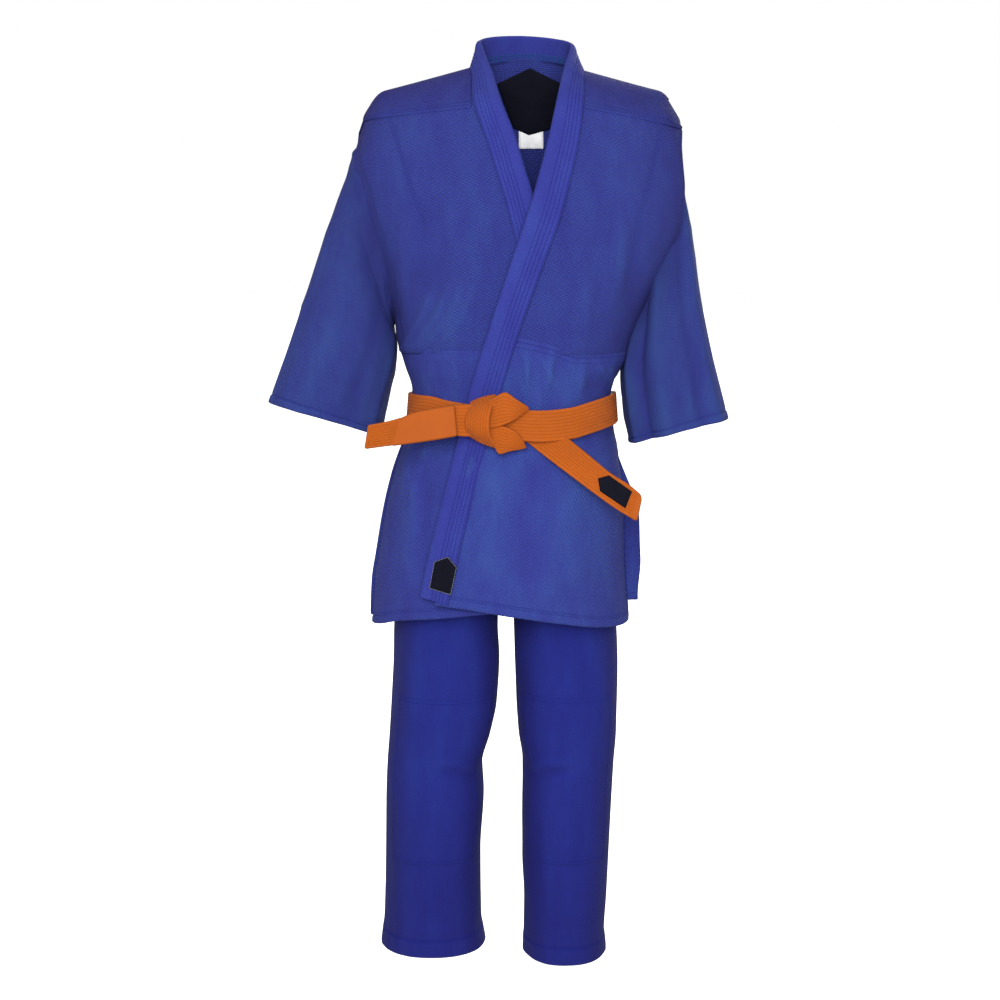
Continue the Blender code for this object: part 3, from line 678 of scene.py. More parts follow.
def plain_cloth(name, colour, rough=0.75):
    """Fine woven label or thread."""
    look = Look(name)
    fine = look.noise(look.place(), 700.0, 2.0, 0.6)
    cloud = look.noise(look.place(), 60.0, 3.0, 0.6)
    body = look.ramp(cloud, [(0.3, times(colour, 0.85)), (0.7, times(colour, 1.15))])
    return look.finish(body, fine, 0.00015, rough, shine=0.08)


RICE = grain_cloth("jacket_rice_grain", JACKET_BLUE, "rice")
DIAMOND = grain_cloth("jacket_diamond_weave", SKIRT_BLUE, "diamond")
RIB = grain_cloth("collar_band_rib", BAND_BLUE, "rib")
CANVAS_BLUE = grain_cloth("trouser_canvas", TROUSER_BLUE, "canvas")
BELT_COTTON = belt_cloth("belt_cotton", BELT_ORANGE, 0.0003)
BELT_SATIN = belt_cloth("belt_label_satin", SATIN_ORANGE, 0.0001)
PATCH = plain_cloth("patch_black", PATCH_BLACK)
WHITE = plain_cloth("care_label_white", LABEL_WHITE)
BLUE_THREAD = plain_cloth("blue_thread", times(JACKET_BLUE, 0.8), 0.6)
BAND_THREAD = plain_cloth("band_thread", times(BAND_BLUE, 0.78), 0.6)
DARK_THREAD = plain_cloth("trouser_thread", times(TROUSER_BLUE, 0.92), 0.6)
ORANGE_THREAD = plain_cloth("orange_thread", times(BELT_ORANGE, 0.7), 0.6)
TEAL_THREAD = plain_cloth("teal_thread", (0.006, 0.075, 0.17), 0.6)
GREY_THREAD = plain_cloth("grey_thread", (0.26, 0.26, 0.31), 0.6)


# ------------------------------------------------------------------ torso
def shoulder(x):
    away = np.abs(x - NECK_MIDDLE)
    return (SHOULDER_TOP - SHOULDER_SLOPE * away
            - SHOULDER_DROP * np.maximum(0.0, away - SHOULDER_EDGE) ** 2)


def hole_depth(z, hand):
    """Half depth of the armhole on one side."""
    top = ARMHOLE_TOP[hand]
    middle, reach = 0.5 * (top + ARMPIT_Z), 0.5 * (top - ARMPIT_Z)
    return ARMHOLE_DEPTH * np.sqrt(np.clip(1 - ((z - middle) / reach) ** 2, 0, 1))


def neck_share(x):
    """How far x is from the middle of the neck opening, 1 at its sides."""
    return np.abs((np.asarray(x, float) - NECK_HOLE_X) / NECK_HOLE_HALF)


def back_top(x):
    """The back's upper edge: the shoulders, and the neckline between them."""
    x = np.asarray(x, float)
    across = neck_share(x)
    neckline = NECK_HOLE_Z - 0.0135 * across ** 2
    join = np.minimum(across, 1.0) ** 14
    return neckline * (1 - join) + shoulder(x) * join


def torso_y(x, z, face, proud=0.0):
    """Depth of the jacket's outer surface; face is -1 at the front, 1 at the back."""
    x, z = np.broadcast_arrays(np.asarray(x, float), np.asarray(z, float))
    middle, limit = read(TORSO, z, 1), read(TORSO, z, 2)
    depth = read(TORSO, z, 3 if face < 0 else 4) + proud
    top = shoulder(x) if face < 0 else back_top(x)
    rise = np.clip((top - z) / SHOULDER_ROUND, 0, 1)
    turn = np.sqrt(1 - (1 - rise) ** 2)
    if face > 0:
        open_neck = np.maximum(0.0, 1 - neck_share(x) ** POWER) ** (1 / POWER)
        start = np.minimum(NECK_HOLE_BACK * open_neck / depth, 0.97)
        turn = start + (1 - start) * turn
    hole = np.where(x < middle, hole_depth(z, HAND_RIGHT), hole_depth(z, HAND_LEFT))
    part = np.minimum(0.9, hole / np.maximum(depth * turn, 1e-5)) ** POWER
    full = limit / (1 - part) ** (1 / POWER)
    across = np.minimum(np.abs(x - middle) / full, 1.0) ** POWER
    return face * depth * turn * np.maximum(0.0, 1 - across) ** (1 / POWER)


def panel(face, start_angle, end_angle, top, bottom, proud=0.0, extra=None):
    """A body panel between two turns about the middle line, from top down to bottom.

    start_angle and end_angle give turns at heights z; top and bottom give heights at x.
    """
    rough_top, rough_bottom = float(np.mean(top(0.1))), float(np.mean(bottom(0.1)))
    rows = max(int(round((rough_top - rough_bottom) / GRID)), 8)
    columns = int(round(0.2 * abs(end_angle(rough_bottom) - start_angle(rough_bottom))
                        / GRID)) + 12
    v = np.linspace(0, 1, rows + 1)[:, None]
    u = np.linspace(0, 1, columns + 1)[None, :]
    z = rough_top * (1 - v) + rough_bottom * v + 0 * u
    for _ in range(8):
        angle = start_angle(z) * (1 - u) + end_angle(z) * u
        half = read(TORSO, z, 2) + (extra(z, u) if extra else 0.0)
        x = read(TORSO, z, 1) + half * np.sin(angle)
        z = top(x) * (1 - v) + bottom(x) * v
    return np.stack([x, torso_y(x, z, face, proud), z], axis=2)


def turn_to(x, z, hand):
    """The turn about the middle line at which x lies at height z."""
    share = hand * (x - read(TORSO, z, 1)) / read(TORSO, z, 2)
    return hand * np.arcsin(np.clip(share, -0.99, 0.99))


def under_lapel(rows, z):
    """x a little past the middle of a lapel, where the cloth under it ends."""
    z = np.asarray(z, float)
    return read(rows, z, 1) * 0.45 + read(rows, z, 2) * 0.55


def side(hand, reach=0.5 * math.pi):
    def find(z):
        return hand * reach + 0 * np.asarray(z, float)
    return find


def level(z):
    def find(x):
        return z + 0 * np.asarray(x, float)
    return find


def ridge_line(x):
    return shoulder(np.asarray(x, float)) - 0.0004


def front_hem(x):
    """The outer front's hem falls towards the wearer's left side."""
    return curve([-0.16, -0.084, 0.0, 0.064, 0.12, 0.175],
                 [-0.73, -0.734, -0.746, -0.757, -0.768, -0.776], np.asarray(x, float))


def inner_hem(x):
    return curve([-0.2, -0.185, -0.157, -0.098, -0.021, 0.08],
                 [-0.779, -0.7725, -0.762, -0.753, -0.744, -0.74], np.asarray(x, float))


def back_hem(x):
    return curve([-0.2, -0.1, 0.05, 0.15, 0.2], [-0.772, -0.764, -0.758, -0.751, -0.75],
                 np.asarray(x, float))


RIGHT_SEAM = [(-0.168, -0.078), (-0.157, -0.104), (-0.143, -0.151), (-0.13, -0.19),
              (-0.116, -0.226)]
LEFT_SEAM = [(0.201, -0.092), (0.188, -0.144), (0.175, -0.19), (0.166, -0.222)]


def above_hem(net):
    """Height over the lower edge, measured along the cloth."""
    return net.uv[..., 1] - net.uv[-1:, :, 1]


def hem_relief(net):
    """A stitched groove near the lower edge; the turned-up hem is a little thicker."""
    up = above_hem(net)
    net.push(0.0009 * ease((0.011 - up) / 0.004) - 0.0011 * np.exp(-((up - 0.011) / 0.0016) ** 2))


def hem_line(net, at):
    """Points along a net at a height above its lower edge, for a row of stitches."""
    R, C = net.P.shape[:2]
    up = above_hem(net)
    columns = np.linspace(0.01 * (C - 1), 0.99 * (C - 1), C * 2)
    rows = np.array([np.interp(-at, -up[:, j], np.arange(R)) for j in columns.astype(int)])
    return net.at(rows, columns)


def map_line(net, path):
    """Points on a net under a line drawn in the front view (x, z)."""
    flat = net.P[..., [0, 2]].reshape(-1, 2)
    found = []
    for a, b in through(path, 160):
        near = int(np.argmin((flat[:, 0] - a) ** 2 + (flat[:, 1] - b) ** 2))
        found.append(refine(net, *divmod(near, net.P.shape[1]), a, b))
    return net.at(*np.array(found).T)


def refine(net, i, j, a, b):
    """The fractional row and column at which a net passes under (a, b)."""
    R, C = net.P.shape[:2]
    i, j = min(max(i, 1), R - 2), min(max(j, 1), C - 2)
    down = (net.P[i + 1, j] - net.P[i - 1, j])[[0, 2]] / 2
    across = (net.P[i, j + 1] - net.P[i, j - 1])[[0, 2]] / 2
    gap = np.array([a, b]) - net.P[i, j][[0, 2]]
    matrix = np.stack([down, across], 1)
    try:
        step = np.linalg.solve(matrix, gap)
    except np.linalg.LinAlgError:
        step = np.zeros(2)
    step = np.clip(step, -1, 1)
    return i + step[0], j + step[1]


def belt_pull(x, z, reach, seed, size):
    """Creases that the tied belt draws into the cloth above and below it."""
    away = np.abs(z + 0.485)
    held = np.exp(-((away - 0.03) / reach) ** 2) * (away > 0.012)
    pattern = crumple(x + 0.25 * z, z * 0.28, 0.03, seed)
    return size * held * pattern


def painted_side_shade(net):
    """Painted shade: the colour darkens where the cloth turns sideways, away from the front light.
    """
    n = net.normal()
    return -0.38 * ease((np.abs(n[..., 0]) - 0.4) / 0.6)


def build_fronts():
    """The two crossed fronts above the waist seam."""
    inside = (0.0, 0.0, -0.25)
    made = {}
    for name, hand, lapel, proud in (
            ("right_front", HAND_RIGHT, INNER_LAPEL, 0.0),
            ("left_front", HAND_LEFT, OUTER_LAPEL, OUTER_PANEL)):
        def start(z, lapel=lapel, hand=hand):
            z = np.asarray(z, float)
            neck = 0.09 if hand > 0 else -0.051
            aside = (neck - under_lapel(lapel, -0.1)) * ease((z + 0.1) / 0.085)
            return turn_to(under_lapel(lapel, z) + aside, z, hand)
        P = panel(-1, start, side(hand), ridge_line, level(WAIST_SEAM_Z), proud)
        net = Net(P, inside)
        x, z = P[..., 0], P[..., 2]
        if hand < 0:
            h = groove(x, z, RIGHT_SEAM, 0.0022, 0.0012, 0.3)
            h += ridge(x, z, [(-0.112, -0.074), (-0.104, -0.137), (-0.083, -0.21),
                              (-0.074, -0.282)], 0.007, 0.0014)
            h -= ridge(x, z, [(-0.118, -0.18), (-0.116, -0.25), (-0.108, -0.345)],
                       0.02, 0.0035)
            for a, b, tall in ((-0.085, -0.15, 0.0048), (-0.066, -0.14, 0.004),
                               (-0.105, -0.158, 0.004), (-0.05, -0.118, 0.0032)):
                h += ridge(x, z, [(a, -0.3), (a - 0.018, -0.345), (b, -0.408)], 0.0065, tall)
            h += ridge(x, z, [(-0.15, -0.225), (-0.148, -0.3), (-0.138, -0.37)], 0.009, 0.0022)
        else:
            h = groove(x, z, LEFT_SEAM, 0.0022, 0.0012, 0.3)
            h += ridge(x, z, [(0.15, -0.2), (0.146, -0.27), (0.128, -0.36)], 0.012, 0.0022)
            h -= ridge(x, z, [(0.168, -0.21), (0.16, -0.28), (0.15, -0.35)], 0.01, 0.0022)
            h += ridge(x, z, [(0.085, -0.23), (0.098, -0.3), (0.1, -0.375)], 0.01, 0.0016)
        h += 0.001 * crumple(x, 0.7 * z, 0.06, 11 + hand)
        h += 0.6 * belt_pull(x, z, 0.075, 31 + hand, 0.003)
        # tone: painted shade at the sides, and painted highlight on raised folds with painted shade
        # in the creases
        net.push(h, painted_side_shade(net) + 60.0 * h)
        made[name] = net
    return made


def ring(z, turn, rows, proud, side_proud, power=POWER):
    """Points on level rings; turn 0 is at the wearer's left and runs round the back."""
    middle, half = read(rows, z, 1), read(rows, z, 2) + side_proud
    cosine, sine = np.cos(turn), np.sin(turn)
    depth = np.where(sine > 0, read(rows, z, 4) + side_proud, read(rows, z, 3) + proud)
    x = middle + half * np.sign(cosine) * np.abs(cosine) ** (2 / power)
    y = depth * np.sign(sine) * np.abs(sine) ** (2 / power)
    return x, y


def sew(name, net, look, thick, nodes, how):
    """A cloth piece that stands for CAD nodes and rides on a body, or, if named in BLENDS, is baked
    in place.
    """
    piece = sew_sheet(name, net, look, thick)
    if nodes:
        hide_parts(*nodes)
    attach(piece, how)
    return piece


BLENDS = {
    "outer": ("root", "outer_flap_body", (0.0, -0.14, -0.605), (0.0, -0.14, -0.68)),
    "inner": ("root", "inner_flap_body", (0.0, -0.13, -0.605), (0.0, -0.13, -0.68)),
    "back": ("root", "back_flap_body", (0.0, 0.13, -0.605), (0.0, 0.13, -0.68)),
    "right_sleeve": ("root", "right_sleeve_body", (-0.196, 0.0, -0.2305), (-0.2447, 0.0, -0.2418)),
    "left_sleeve": ("root", "left_sleeve_body", (0.2175, 0.0, -0.215), (0.254, 0.0, -0.2249)),
    "short_end": ("root", "short_belt_end", (-0.072, -0.15, -0.48), (-0.098, -0.15, -0.484)),
    "long_end": ("root", "long_belt_end", (0.03, -0.14, -0.497), (0.082, -0.14, -0.535)),
    "right_leg": ("root", "right_lower_leg_body", (-0.11, 0.0, -0.9), (-0.11, 0.0, -1.07)),
    "left_leg": ("root", "left_lower_leg_body", (0.08, 0.0, -0.9), (0.08, 0.0, -1.07)),
}


def attach(piece, how):
    """Ride on a body; a piece named in BLENDS is only baked in place."""
    if how in BLENDS:
        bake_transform(piece)
    else:
        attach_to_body(piece, how)


def build_body():
    """Fronts and back above the waist seam, with their stitching."""
    fronts = build_fronts()
    lines = []
    for name, seam in (("right_front", RIGHT_SEAM), ("left_front", LEFT_SEAM)):
        net = fronts[name]
        piece = sew(f"{name}_cloth", net, RICE, CLOTH, [f"{name}_upper"], "root")
        for shift in (-0.0022, 0.0022):
            lines.append(map_line(net, [(x + shift, z) for x, z in seam]))
    P = panel(1, side(-1), side(1), back_top, level(WAIST_SEAM_Z))
    back = Net(P, (0.0, 0.0, -0.25))
    x, z = P[..., 0], P[..., 2]
    h = 0.0013 * crumple(x, 0.6 * z, 0.07, 5) + 0.8 * belt_pull(x, z, 0.085, 8, 0.0034)
    for high, low, tall in ((-0.1, -0.05, 0.003), (0.13, 0.09, 0.003),
                            (-0.03, -0.02, -0.002), (0.06, 0.05, -0.002)):
        h += ridge(x, z, [(high, -0.14), (0.5 * (high + low), -0.27), (low, -0.39)], 0.022,
                   tall, 0.5)
    h -= 0.0012 * np.exp(-((x - BACK_SEAM_X) / 0.0022) ** 2) * ease((-0.03 - z) / 0.02)
    # tone: painted shade at the sides, and painted highlight on raised folds with painted shade in
    # the creases and seam groove
    back.push(h, painted_side_shade(back) + 50.0 * h)
    piece = sew("back_cloth", back, RICE, CLOTH, ["back_upper"], "root")
    for shift in (-0.004, 0.004):
        lines.append(map_line(back, [(BACK_SEAM_X + shift, z) for z in (-0.02, -0.2, -0.39)]))
    sew_stitches("body_stitches", lines, BLUE_THREAD, "root")


def build_yokes():
    """A second layer over each shoulder, from the chest over the ridge to the back."""
    lines = []
    for word, hand, start, forward, drop in (
            ("right", HAND_RIGHT, -0.056, 0.0, (-0.068, -0.081)),
            ("left", HAND_LEFT, 0.0945, OUTER_PANEL, (-0.069, -0.092))):
        rows, columns = 96, 56
        reach = np.linspace(-1, 1, rows + 1)[:, None]
        u = np.linspace(0, 1, columns + 1)[None, :]
        front = reach < 0
        low = np.where(front, drop[0] + (drop[1] - drop[0]) * u, -0.1 - 0.012 * u)
        x = start + hand * 0.13 * u + 0 * reach
        for _ in range(5):
            top = shoulder(x)
            z = top + (low - top) * np.abs(reach) ** 2
            end = read(TORSO, z, 1) + hand * 0.975 * read(TORSO, z, 2)
            x = start + (end - start) * u
        y = np.where(front, torso_y(x, z, -1, forward), torso_y(x, z, 1))
        net = Net(np.stack([x, y, z], 2), (hand * 0.12, 0.0, -0.16))
        edge = (1 - np.abs(reach)) * 0.1
        h = 0.0022 + 0.0014 * u ** 4 - 0.0005 * np.exp(-((edge - 0.005) / 0.0014) ** 2)
        # tone: painted shade along the shoulder ridge and at the sides, and slightly darker overall
        net.push(h, painted_side_shade(net) - 0.62 * (1 - np.abs(reach)) ** 0.7 - 0.06)
        piece = sew(f"{word}_shoulder_yoke_cloth", net, RICE, 0.0022,
                    [f"{word}_shoulder_yoke"], "root")
        for row in (1.4, 3.4, rows - 1.4, rows - 3.4):
            lines.append(net.at(row, np.linspace(0.5, columns - 0.5, 120)))
    sew_stitches("yoke_stitches", lines, BLUE_THREAD, "root")


def build_skirt():
    """Coarser cloth below the waist seam, with the flaps beside the slits."""

    def waist_outer(x):
        return curve([-0.05, 0.008, 0.055, 0.088, 0.16],
                     [-0.3655, -0.3725, -0.3835, -0.395, -0.3955], np.asarray(x, float))
    nets = {}
    for name, hand, lapel, proud, top, hem in (
            ("outer", HAND_LEFT, OUTER_LAPEL, OUTER_PANEL + 0.0012, waist_outer, front_hem),
            ("inner", HAND_RIGHT, INNER_LAPEL, 0.0008, level(WAIST_SEAM_Z + 0.004), inner_hem)):
        def start(z, lapel=lapel, hand=hand):
            return turn_to(under_lapel(lapel, z), z, hand)

        def extra(z, u, hand=hand):
            return (0.0006 if hand > 0 else -0.0015) * ease((-0.5 - z) / 0.05)
        P = panel(-1, start, side(hand, 0.5 * math.pi * 0.992), top, hem, proud, extra)
        net = Net(P, (0.0, 0.0, -0.55))
        x, z = P[..., 0], P[..., 2]
        h = 0.0012 * crumple(x, 0.6 * z, 0.055, 60 + hand)
        h += belt_pull(x, z, 0.055, 71 + hand, 0.003)
        if hand > 0:
            # x at the seam, lean, upper and lower end, height, width
            for a, lean, high, low, tall, wide in (
                    (0.017, 0.002, -0.372, -0.462, 0.0048, 0.005),
                    (0.033, 0.009, -0.384, -0.432, 0.003, 0.004),
                    (0.056, -0.007, -0.376, -0.46, 0.0046, 0.006),
                    (0.07, 0.012, -0.392, -0.436, 0.003, 0.0045),
                    (0.096, -0.004, -0.396, -0.462, 0.0044, 0.0065),
                    (0.112, 0.013, -0.398, -0.45, 0.003, 0.005),
                    (0.133, 0.003, -0.396, -0.458, 0.0034, 0.006)):
                h += ridge(x, z, [(a, high), (a + lean, 0.5 * (high + low)),
                                  (a + 1.4 * lean, low)], wide, tall, 0.5)
            h += ridge(x, z, [(0.1, -0.54), (0.075, -0.62), (0.085, -0.72)], 0.02, 0.0024)
            h -= ridge(x, z, [(0.03, -0.52), (0.02, -0.62), (0.03, -0.72)], 0.022, 0.003)
            h += ridge(x, z, [(-0.03, -0.53), (-0.02, -0.6), (-0.04, -0.7)], 0.016, 0.0022)
            h += ridge(x, z, [(0.135, -0.51), (0.12, -0.58), (0.125, -0.7)], 0.014, 0.0012)
        else:
            h += ridge(x, z, [(-0.145, -0.52), (-0.135, -0.6), (-0.15, -0.72)], 0.016, 0.003)
            h -= ridge(x, z, [(-0.12, -0.52), (-0.118, -0.6), (-0.125, -0.72)], 0.012, 0.0022)
            for a, b in ((-0.105, -0.128), (-0.128, -0.142)):
                h += ridge(x, z, [(a, -0.505), (b, -0.545), (b - 0.01, -0.6)], 0.007, 0.0024)
        seam = np.abs(net.uv[..., 1])
        h -= 0.001 * np.exp(-((seam - 0.005) / 0.002) ** 2)
        # tone: a weaker painted side shade, painted highlight on raised folds with painted shade in
        # the creases and seam groove, and the outer flap a little lighter overall
        net.push(h, 0.3 * painted_side_shade(net) + 60.0 * h + (0.12 if hand > 0 else 0.0))
        hem_relief(net)
        nets[name] = net
    P = panel(1, side(-1), side(1), level(WAIST_SEAM_Z + 0.004), back_hem, 0.0008,
              lambda z, u: np.where(u > 0.5, 0.022 * ease((-0.535 - z) / 0.1)
                                    - 0.007 * ease((-0.69 - z) / 0.06),
                                    0.003 * ease((-0.5 - z) / 0.014)))
    net = Net(P, (0.0, 0.0, -0.55))
    x, z = P[..., 0], P[..., 2]
    h = 0.0014 * crumple(x, 0.6 * z, 0.06, 91) + belt_pull(x, z, 0.07, 95, 0.0036)
    for k, a in enumerate((-0.11, -0.055, 0.0, 0.06, 0.115)):
        h += ridge(x, z, [(a, -0.515), (a * 1.08, -0.6), (a * 1.12, -0.76)], 0.016,
                   0.0035 + 0.0008 * (k % 2))
    # tone: painted shade at the sides, and painted highlight on raised folds with painted shade in
    # the creases
    net.push(h, painted_side_shade(net) + 50.0 * h)
    hem_relief(net)
    nets["back"] = net
    for name, upper, waist_rows, left_edges in (
            ("outer", "left_front", (1.6, 4.0), ()), ("inner", "right_front", (), ()),
            ("back", "back", (), (3.0,))):
        net = nets[name]
        piece = sew(f"{name}_skirt_cloth", net, DIAMOND, CLOTH,
                    [f"{upper}_lower", f"{name}_flap"], name)
        R, C = net.P.shape[:2]
        lines = [hem_line(net, 0.0105), hem_line(net, 0.0138)]
        lines += [net.at(row, np.linspace(1, C - 2, 240)) for row in waist_rows]
        lines += [net.at(np.linspace(0.36 * R, R - 4, 200), column)
                  for column in (*left_edges, C - 4.0)]
        stitch = sew_stitches(f"{name}_skirt_stitches", lines, BLUE_THREAD, name)


# ------------------------------------------------------------------ collar band
def band_profile():
    """Across the band from its sewn edge: share of the width, share of the thickness."""
    points = [(0.0, 0.16), (0.006, 0.42), (0.02, 0.6)]
    rows = [0.065 + 0.125 * k for k in range(BAND_ROWS)]
    for k, at in enumerate(rows):
        points.append((at - 0.022, 0.86))
        points.append((at - 0.008, 0.8))
        points.append((at, 0.745))
        points.append((at + 0.008, 0.8))
        points.append((at + 0.022, 0.86))
        if k + 1 < BAND_ROWS:
            points.append((at + 0.0625, 0.9))
    points += [(0.65, 0.9), (0.72, 0.97), (0.79, 1.0), (0.86, 0.98), (0.91, 0.9),
               (0.95, 0.76), (0.98, 0.55), (0.996, 0.28), (1.0, 0.0)]
    return np.array(points), rows


def build_collar():
    """One long band: down the inner lapel, round the neck and down the outer lapel."""
    levels_in = [-0.752, -0.7, -0.64, -0.6, -0.52, -0.44, -0.36, -0.28, -0.2, -0.15, -0.105]
    levels_out = [-0.107, -0.15, -0.21, -0.28, -0.36, -0.44, -0.52, -0.6, -0.64, -0.69, -0.727]

    def on_front(rows, z, proud):
        free, sewn = float(read(rows, z, 1)), float(read(rows, z, 2))
        slope = (read(rows, z + 0.01, 1) - read(rows, z - 0.01, 1)) / 0.02
        tilt = 0.5 * (sewn - free) * float(slope) / (1 + float(slope) ** 2)
        pair = []
        for x, sign in ((sewn, -1), (free, 1)):
            at = z + sign * tilt
            pair.append((x * 0.93 + 0.07 * 0.5 * (free + sewn),
                         float(torso_y(x, at, -1, proud + 0.0008)), at))
        return pair
    lines = [on_front(INNER_LAPEL, z, 0.0) for z in levels_in]
    lines += [list(pair) for pair in NECK_BAND]
    lines += [on_front(OUTER_LAPEL, z, OUTER_PANEL) for z in levels_out]
    lines = np.array(lines)
    both = through(lines.reshape(len(lines), 6), 620)
    sewn, free = both[:, :3], both[:, 3:]
    middle = 0.5 * (sewn + free)
    width = np.linalg.norm(free - sewn, axis=1, keepdims=True)
    wide = (free - sewn) / width
    out = unit(np.cross(wide, unit(np.gradient(middle, axis=0))))
    if out[30, 1] > 0:
        out = -out
    profile, rows = band_profile()
    fine = through(np.column_stack([profile, np.zeros(len(profile))]), 90)[:, :2]
    top = sewn[:, None] + wide[:, None] * (fine[:, 0] * width)[..., None] \
        + out[:, None] * (fine[:, 1] * BAND_THICK)[None, :, None]
    under = np.linspace(1.0, 0.0, 12)[1:]
    low = sewn[:, None] + wide[:, None] * (under * width)[..., None] \
        - out[:, None] * 0.0004
    P = np.concatenate([top, low], 1)
    length = run_along(middle)
    uv = np.stack(np.broadcast_arrays(np.concatenate([fine[:, 0], under]) * 0.044,
                                      length[:, None]), 2)
    ripple = 0.0007 * crumple(uv[..., 1], uv[..., 0] * 0.8, 0.035, 7)
    cover = np.concatenate([np.ones(len(fine)), np.zeros(len(under))])[None, :]
    P = P + out[:, None] * (ripple * cover)[..., None]
    on_neck = np.flatnonzero(middle[:, 2] > -0.062)
    front_in, back = int(on_neck[0]), int(on_neck[-1])
    parts = (("inner_lapel_band", 0, front_in, "inner",
              ("inner_lapel_core", "inner_lapel_cover", "inner_lapel_tail_core",
               "inner_lapel_tail_cover")),
             ("collar_neck_band", front_in, back, "root",
              ("collar_back_cover", "collar_back_core")),
             ("outer_lapel_band", back, len(P) - 1, "outer",
              ("outer_lapel_core", "outer_lapel_cover", "outer_lapel_tail_core",
               "outer_lapel_tail_cover")))
    for name, first, last, how, nodes in parts:
        part, up = P[first:last + 1], out[first:last + 1]
        piece = tube(name, part, uv[first:last + 1], RIB)
        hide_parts(*nodes)
        attach(piece, how)
        lines = []
        for at in rows:
            k = int(np.argmin(np.abs(fine[:, 0] - at)))
            lines.append((part[:, k] + up * 0.0002, up))
        stitch = sew_stitches(f"{name}_stitches", lines, BAND_THREAD, how, 0.004, 0.00036)
        if how == "root":
            lines = [(part[:, -k] - up * 0.0004, -up) for k in (2, 3, 4)]
            sew_stitches(f"{name}_inner_stitches", lines, TEAL_THREAD, how, 0.005, 0.0007)


def tube(name, P, uv, look):
    """A closed ring of points swept along rows, with both ends capped."""
    R, C = P.shape[:2]
    number = np.arange(R * C).reshape(R, C)
    quads = net_quads(np.concatenate([number, number[:, :1]], 1))
    first, last = number[0], number[-1]
    tips = np.vstack([np.stack([np.roll(first, -1), first, np.full(C, R * C)], 1),
                      np.stack([last, np.roll(last, -1), np.full(C, R * C + 1)], 1)])
    vertices = np.vstack([P.reshape(-1, 3), P[0].mean(0), P[-1].mean(0)])
    all_uv = np.vstack([uv.reshape(-1, 2), uv[0].mean(0), uv[-1].mean(0)])
    rims = np.zeros(len(vertices), bool)
    rims[first] = rims[last] = True
    return add_mesh(name, vertices, quads, tips, all_uv, np.zeros(len(vertices)), look, rims,
                    turn_out=True)


# ------------------------------------------------------------------ sleeves
SLEEVE_LONG = 0.4
# lean of the folds, and each fold's place round the sleeve, width and height
SLEEVE_FOLDS = {
    HAND_LEFT: (0.03, ((0.6, 0.016, 0.005), (0.66, 0.014, -0.0055), (0.72, 0.018, 0.0042),
                       (0.84, 0.02, -0.003), (0.9, 0.02, 0.0032))),
    HAND_RIGHT: (-0.04, ((0.58, 0.018, 0.0032), (0.67, 0.02, -0.003), (0.79, 0.024, 0.003),
                         (0.9, 0.022, -0.0022))),
}


def build_sleeve(word, table, hand):
    """A wide sleeve from inside the armhole to its stitched cuff."""
    shares = [row[0] for row in table]
    rows, columns = 140, 150
    s = np.linspace(0, 1, rows + 1)[:, None]
    turn = np.linspace(0, 2 * math.pi, columns, endpoint=False)[None, :]

    def column(k):
        return curve(shares, [row[k] for row in table], s)
    cosine, sine = np.cos(turn), np.sin(turn)
    flat = np.sign(cosine) * np.abs(cosine) ** 0.92
    deep = np.sign(sine) * np.abs(sine) ** 0.86
    x = 0.5 * (column(1) + column(3)) + 0.5 * (column(1) - column(3)) * flat
    z = 0.5 * (column(2) + column(4)) + 0.5 * (column(2) - column(4)) * flat
    y = SLEEVE_MIDDLE_Y + column(5) * deep
    top = ARMHOLE_TOP[hand] - 0.001
    hole_z = 0.5 * (top + ARMPIT_Z) + 0.5 * (top - ARMPIT_Z) * cosine
    hole_x = read(TORSO, hole_z, 1) + hand * (read(TORSO, hole_z, 2) - SLEEVE_TUCK)
    hole_y = (ARMHOLE_DEPTH - 0.001) * sine
    out = np.clip(s / SLEEVE_HEAD, 0, 1)
    round_out = out ** 0.97
    x = hole_x + (x - hole_x) * round_out
    y = hole_y + (y - hole_y) * round_out
    z = hole_z + (z - hole_z) * out
    z = z + CUFF_RISE * np.abs(sine) ** 1.5 * s ** 4
    net = Net(np.stack([x, y, z], 2), (0, 0, 0), wrap=True)
    net.face_from(net.P.mean(1, keepdims=True))
    step = np.linalg.norm(net.P - np.roll(net.P, 1, 1), axis=2).mean(0)
    u = np.concatenate([[0], np.cumsum(step[1:])])[None, :] + 0 * s
    v = s * SLEEVE_LONG + 0 * u
    net.uv = np.stack([u, -v], 2)
    across = turn / (2 * math.pi)
    front = np.clip(-sine, 0, 1)
    h = 0.0016 * crumple(u, 0.45 * v, 0.055, 120 + hand)
    lean, folds = SLEEVE_FOLDS[hand]
    for at, wide, tall in folds:
        h = h + tall * np.exp(-((across + lean * (s - 0.5) - at) / wide / 1.4) ** 2) \
            * ease((s - 0.05) / 0.35)
    h = h + 0.002 * ease((0.3 - s) / 0.3) * crumple(u, 1.2 * v, 0.04, 130 + hand)
    up = (1 - s) * SLEEVE_LONG
    h = h + 0.0009 * ease((0.012 - up) / 0.004) \
        - 0.0012 * np.exp(-((up - 0.012) / 0.0018) ** 2)
    # tone: painted highlight on raised folds with painted shade in the hollows, the whole sleeve a
    # little lighter; then painted shade on the sleeve's front near the armhole, where the body's
    # edge overhangs it
    net.push(h, 45.0 * h + 0.14)
    net.tone = net.tone - 0.3 * ease((0.35 - s) / 0.35) * front
    how = f"{word}_sleeve"
    piece = sew(f"{word}_sleeve_cloth", net, RICE, CLOTH,
                [f"{word}_sleeve", f"{word}_cuff_band", f"{word}_underarm_gusset"], how)
    lines = [net.at(rows * (1 - at / SLEEVE_LONG), np.linspace(0, columns, 600))
             for at in (0.0108, 0.0134)]
    stitch = sew_stitches(f"{word}_cuff_stitches", lines, BLUE_THREAD, how)


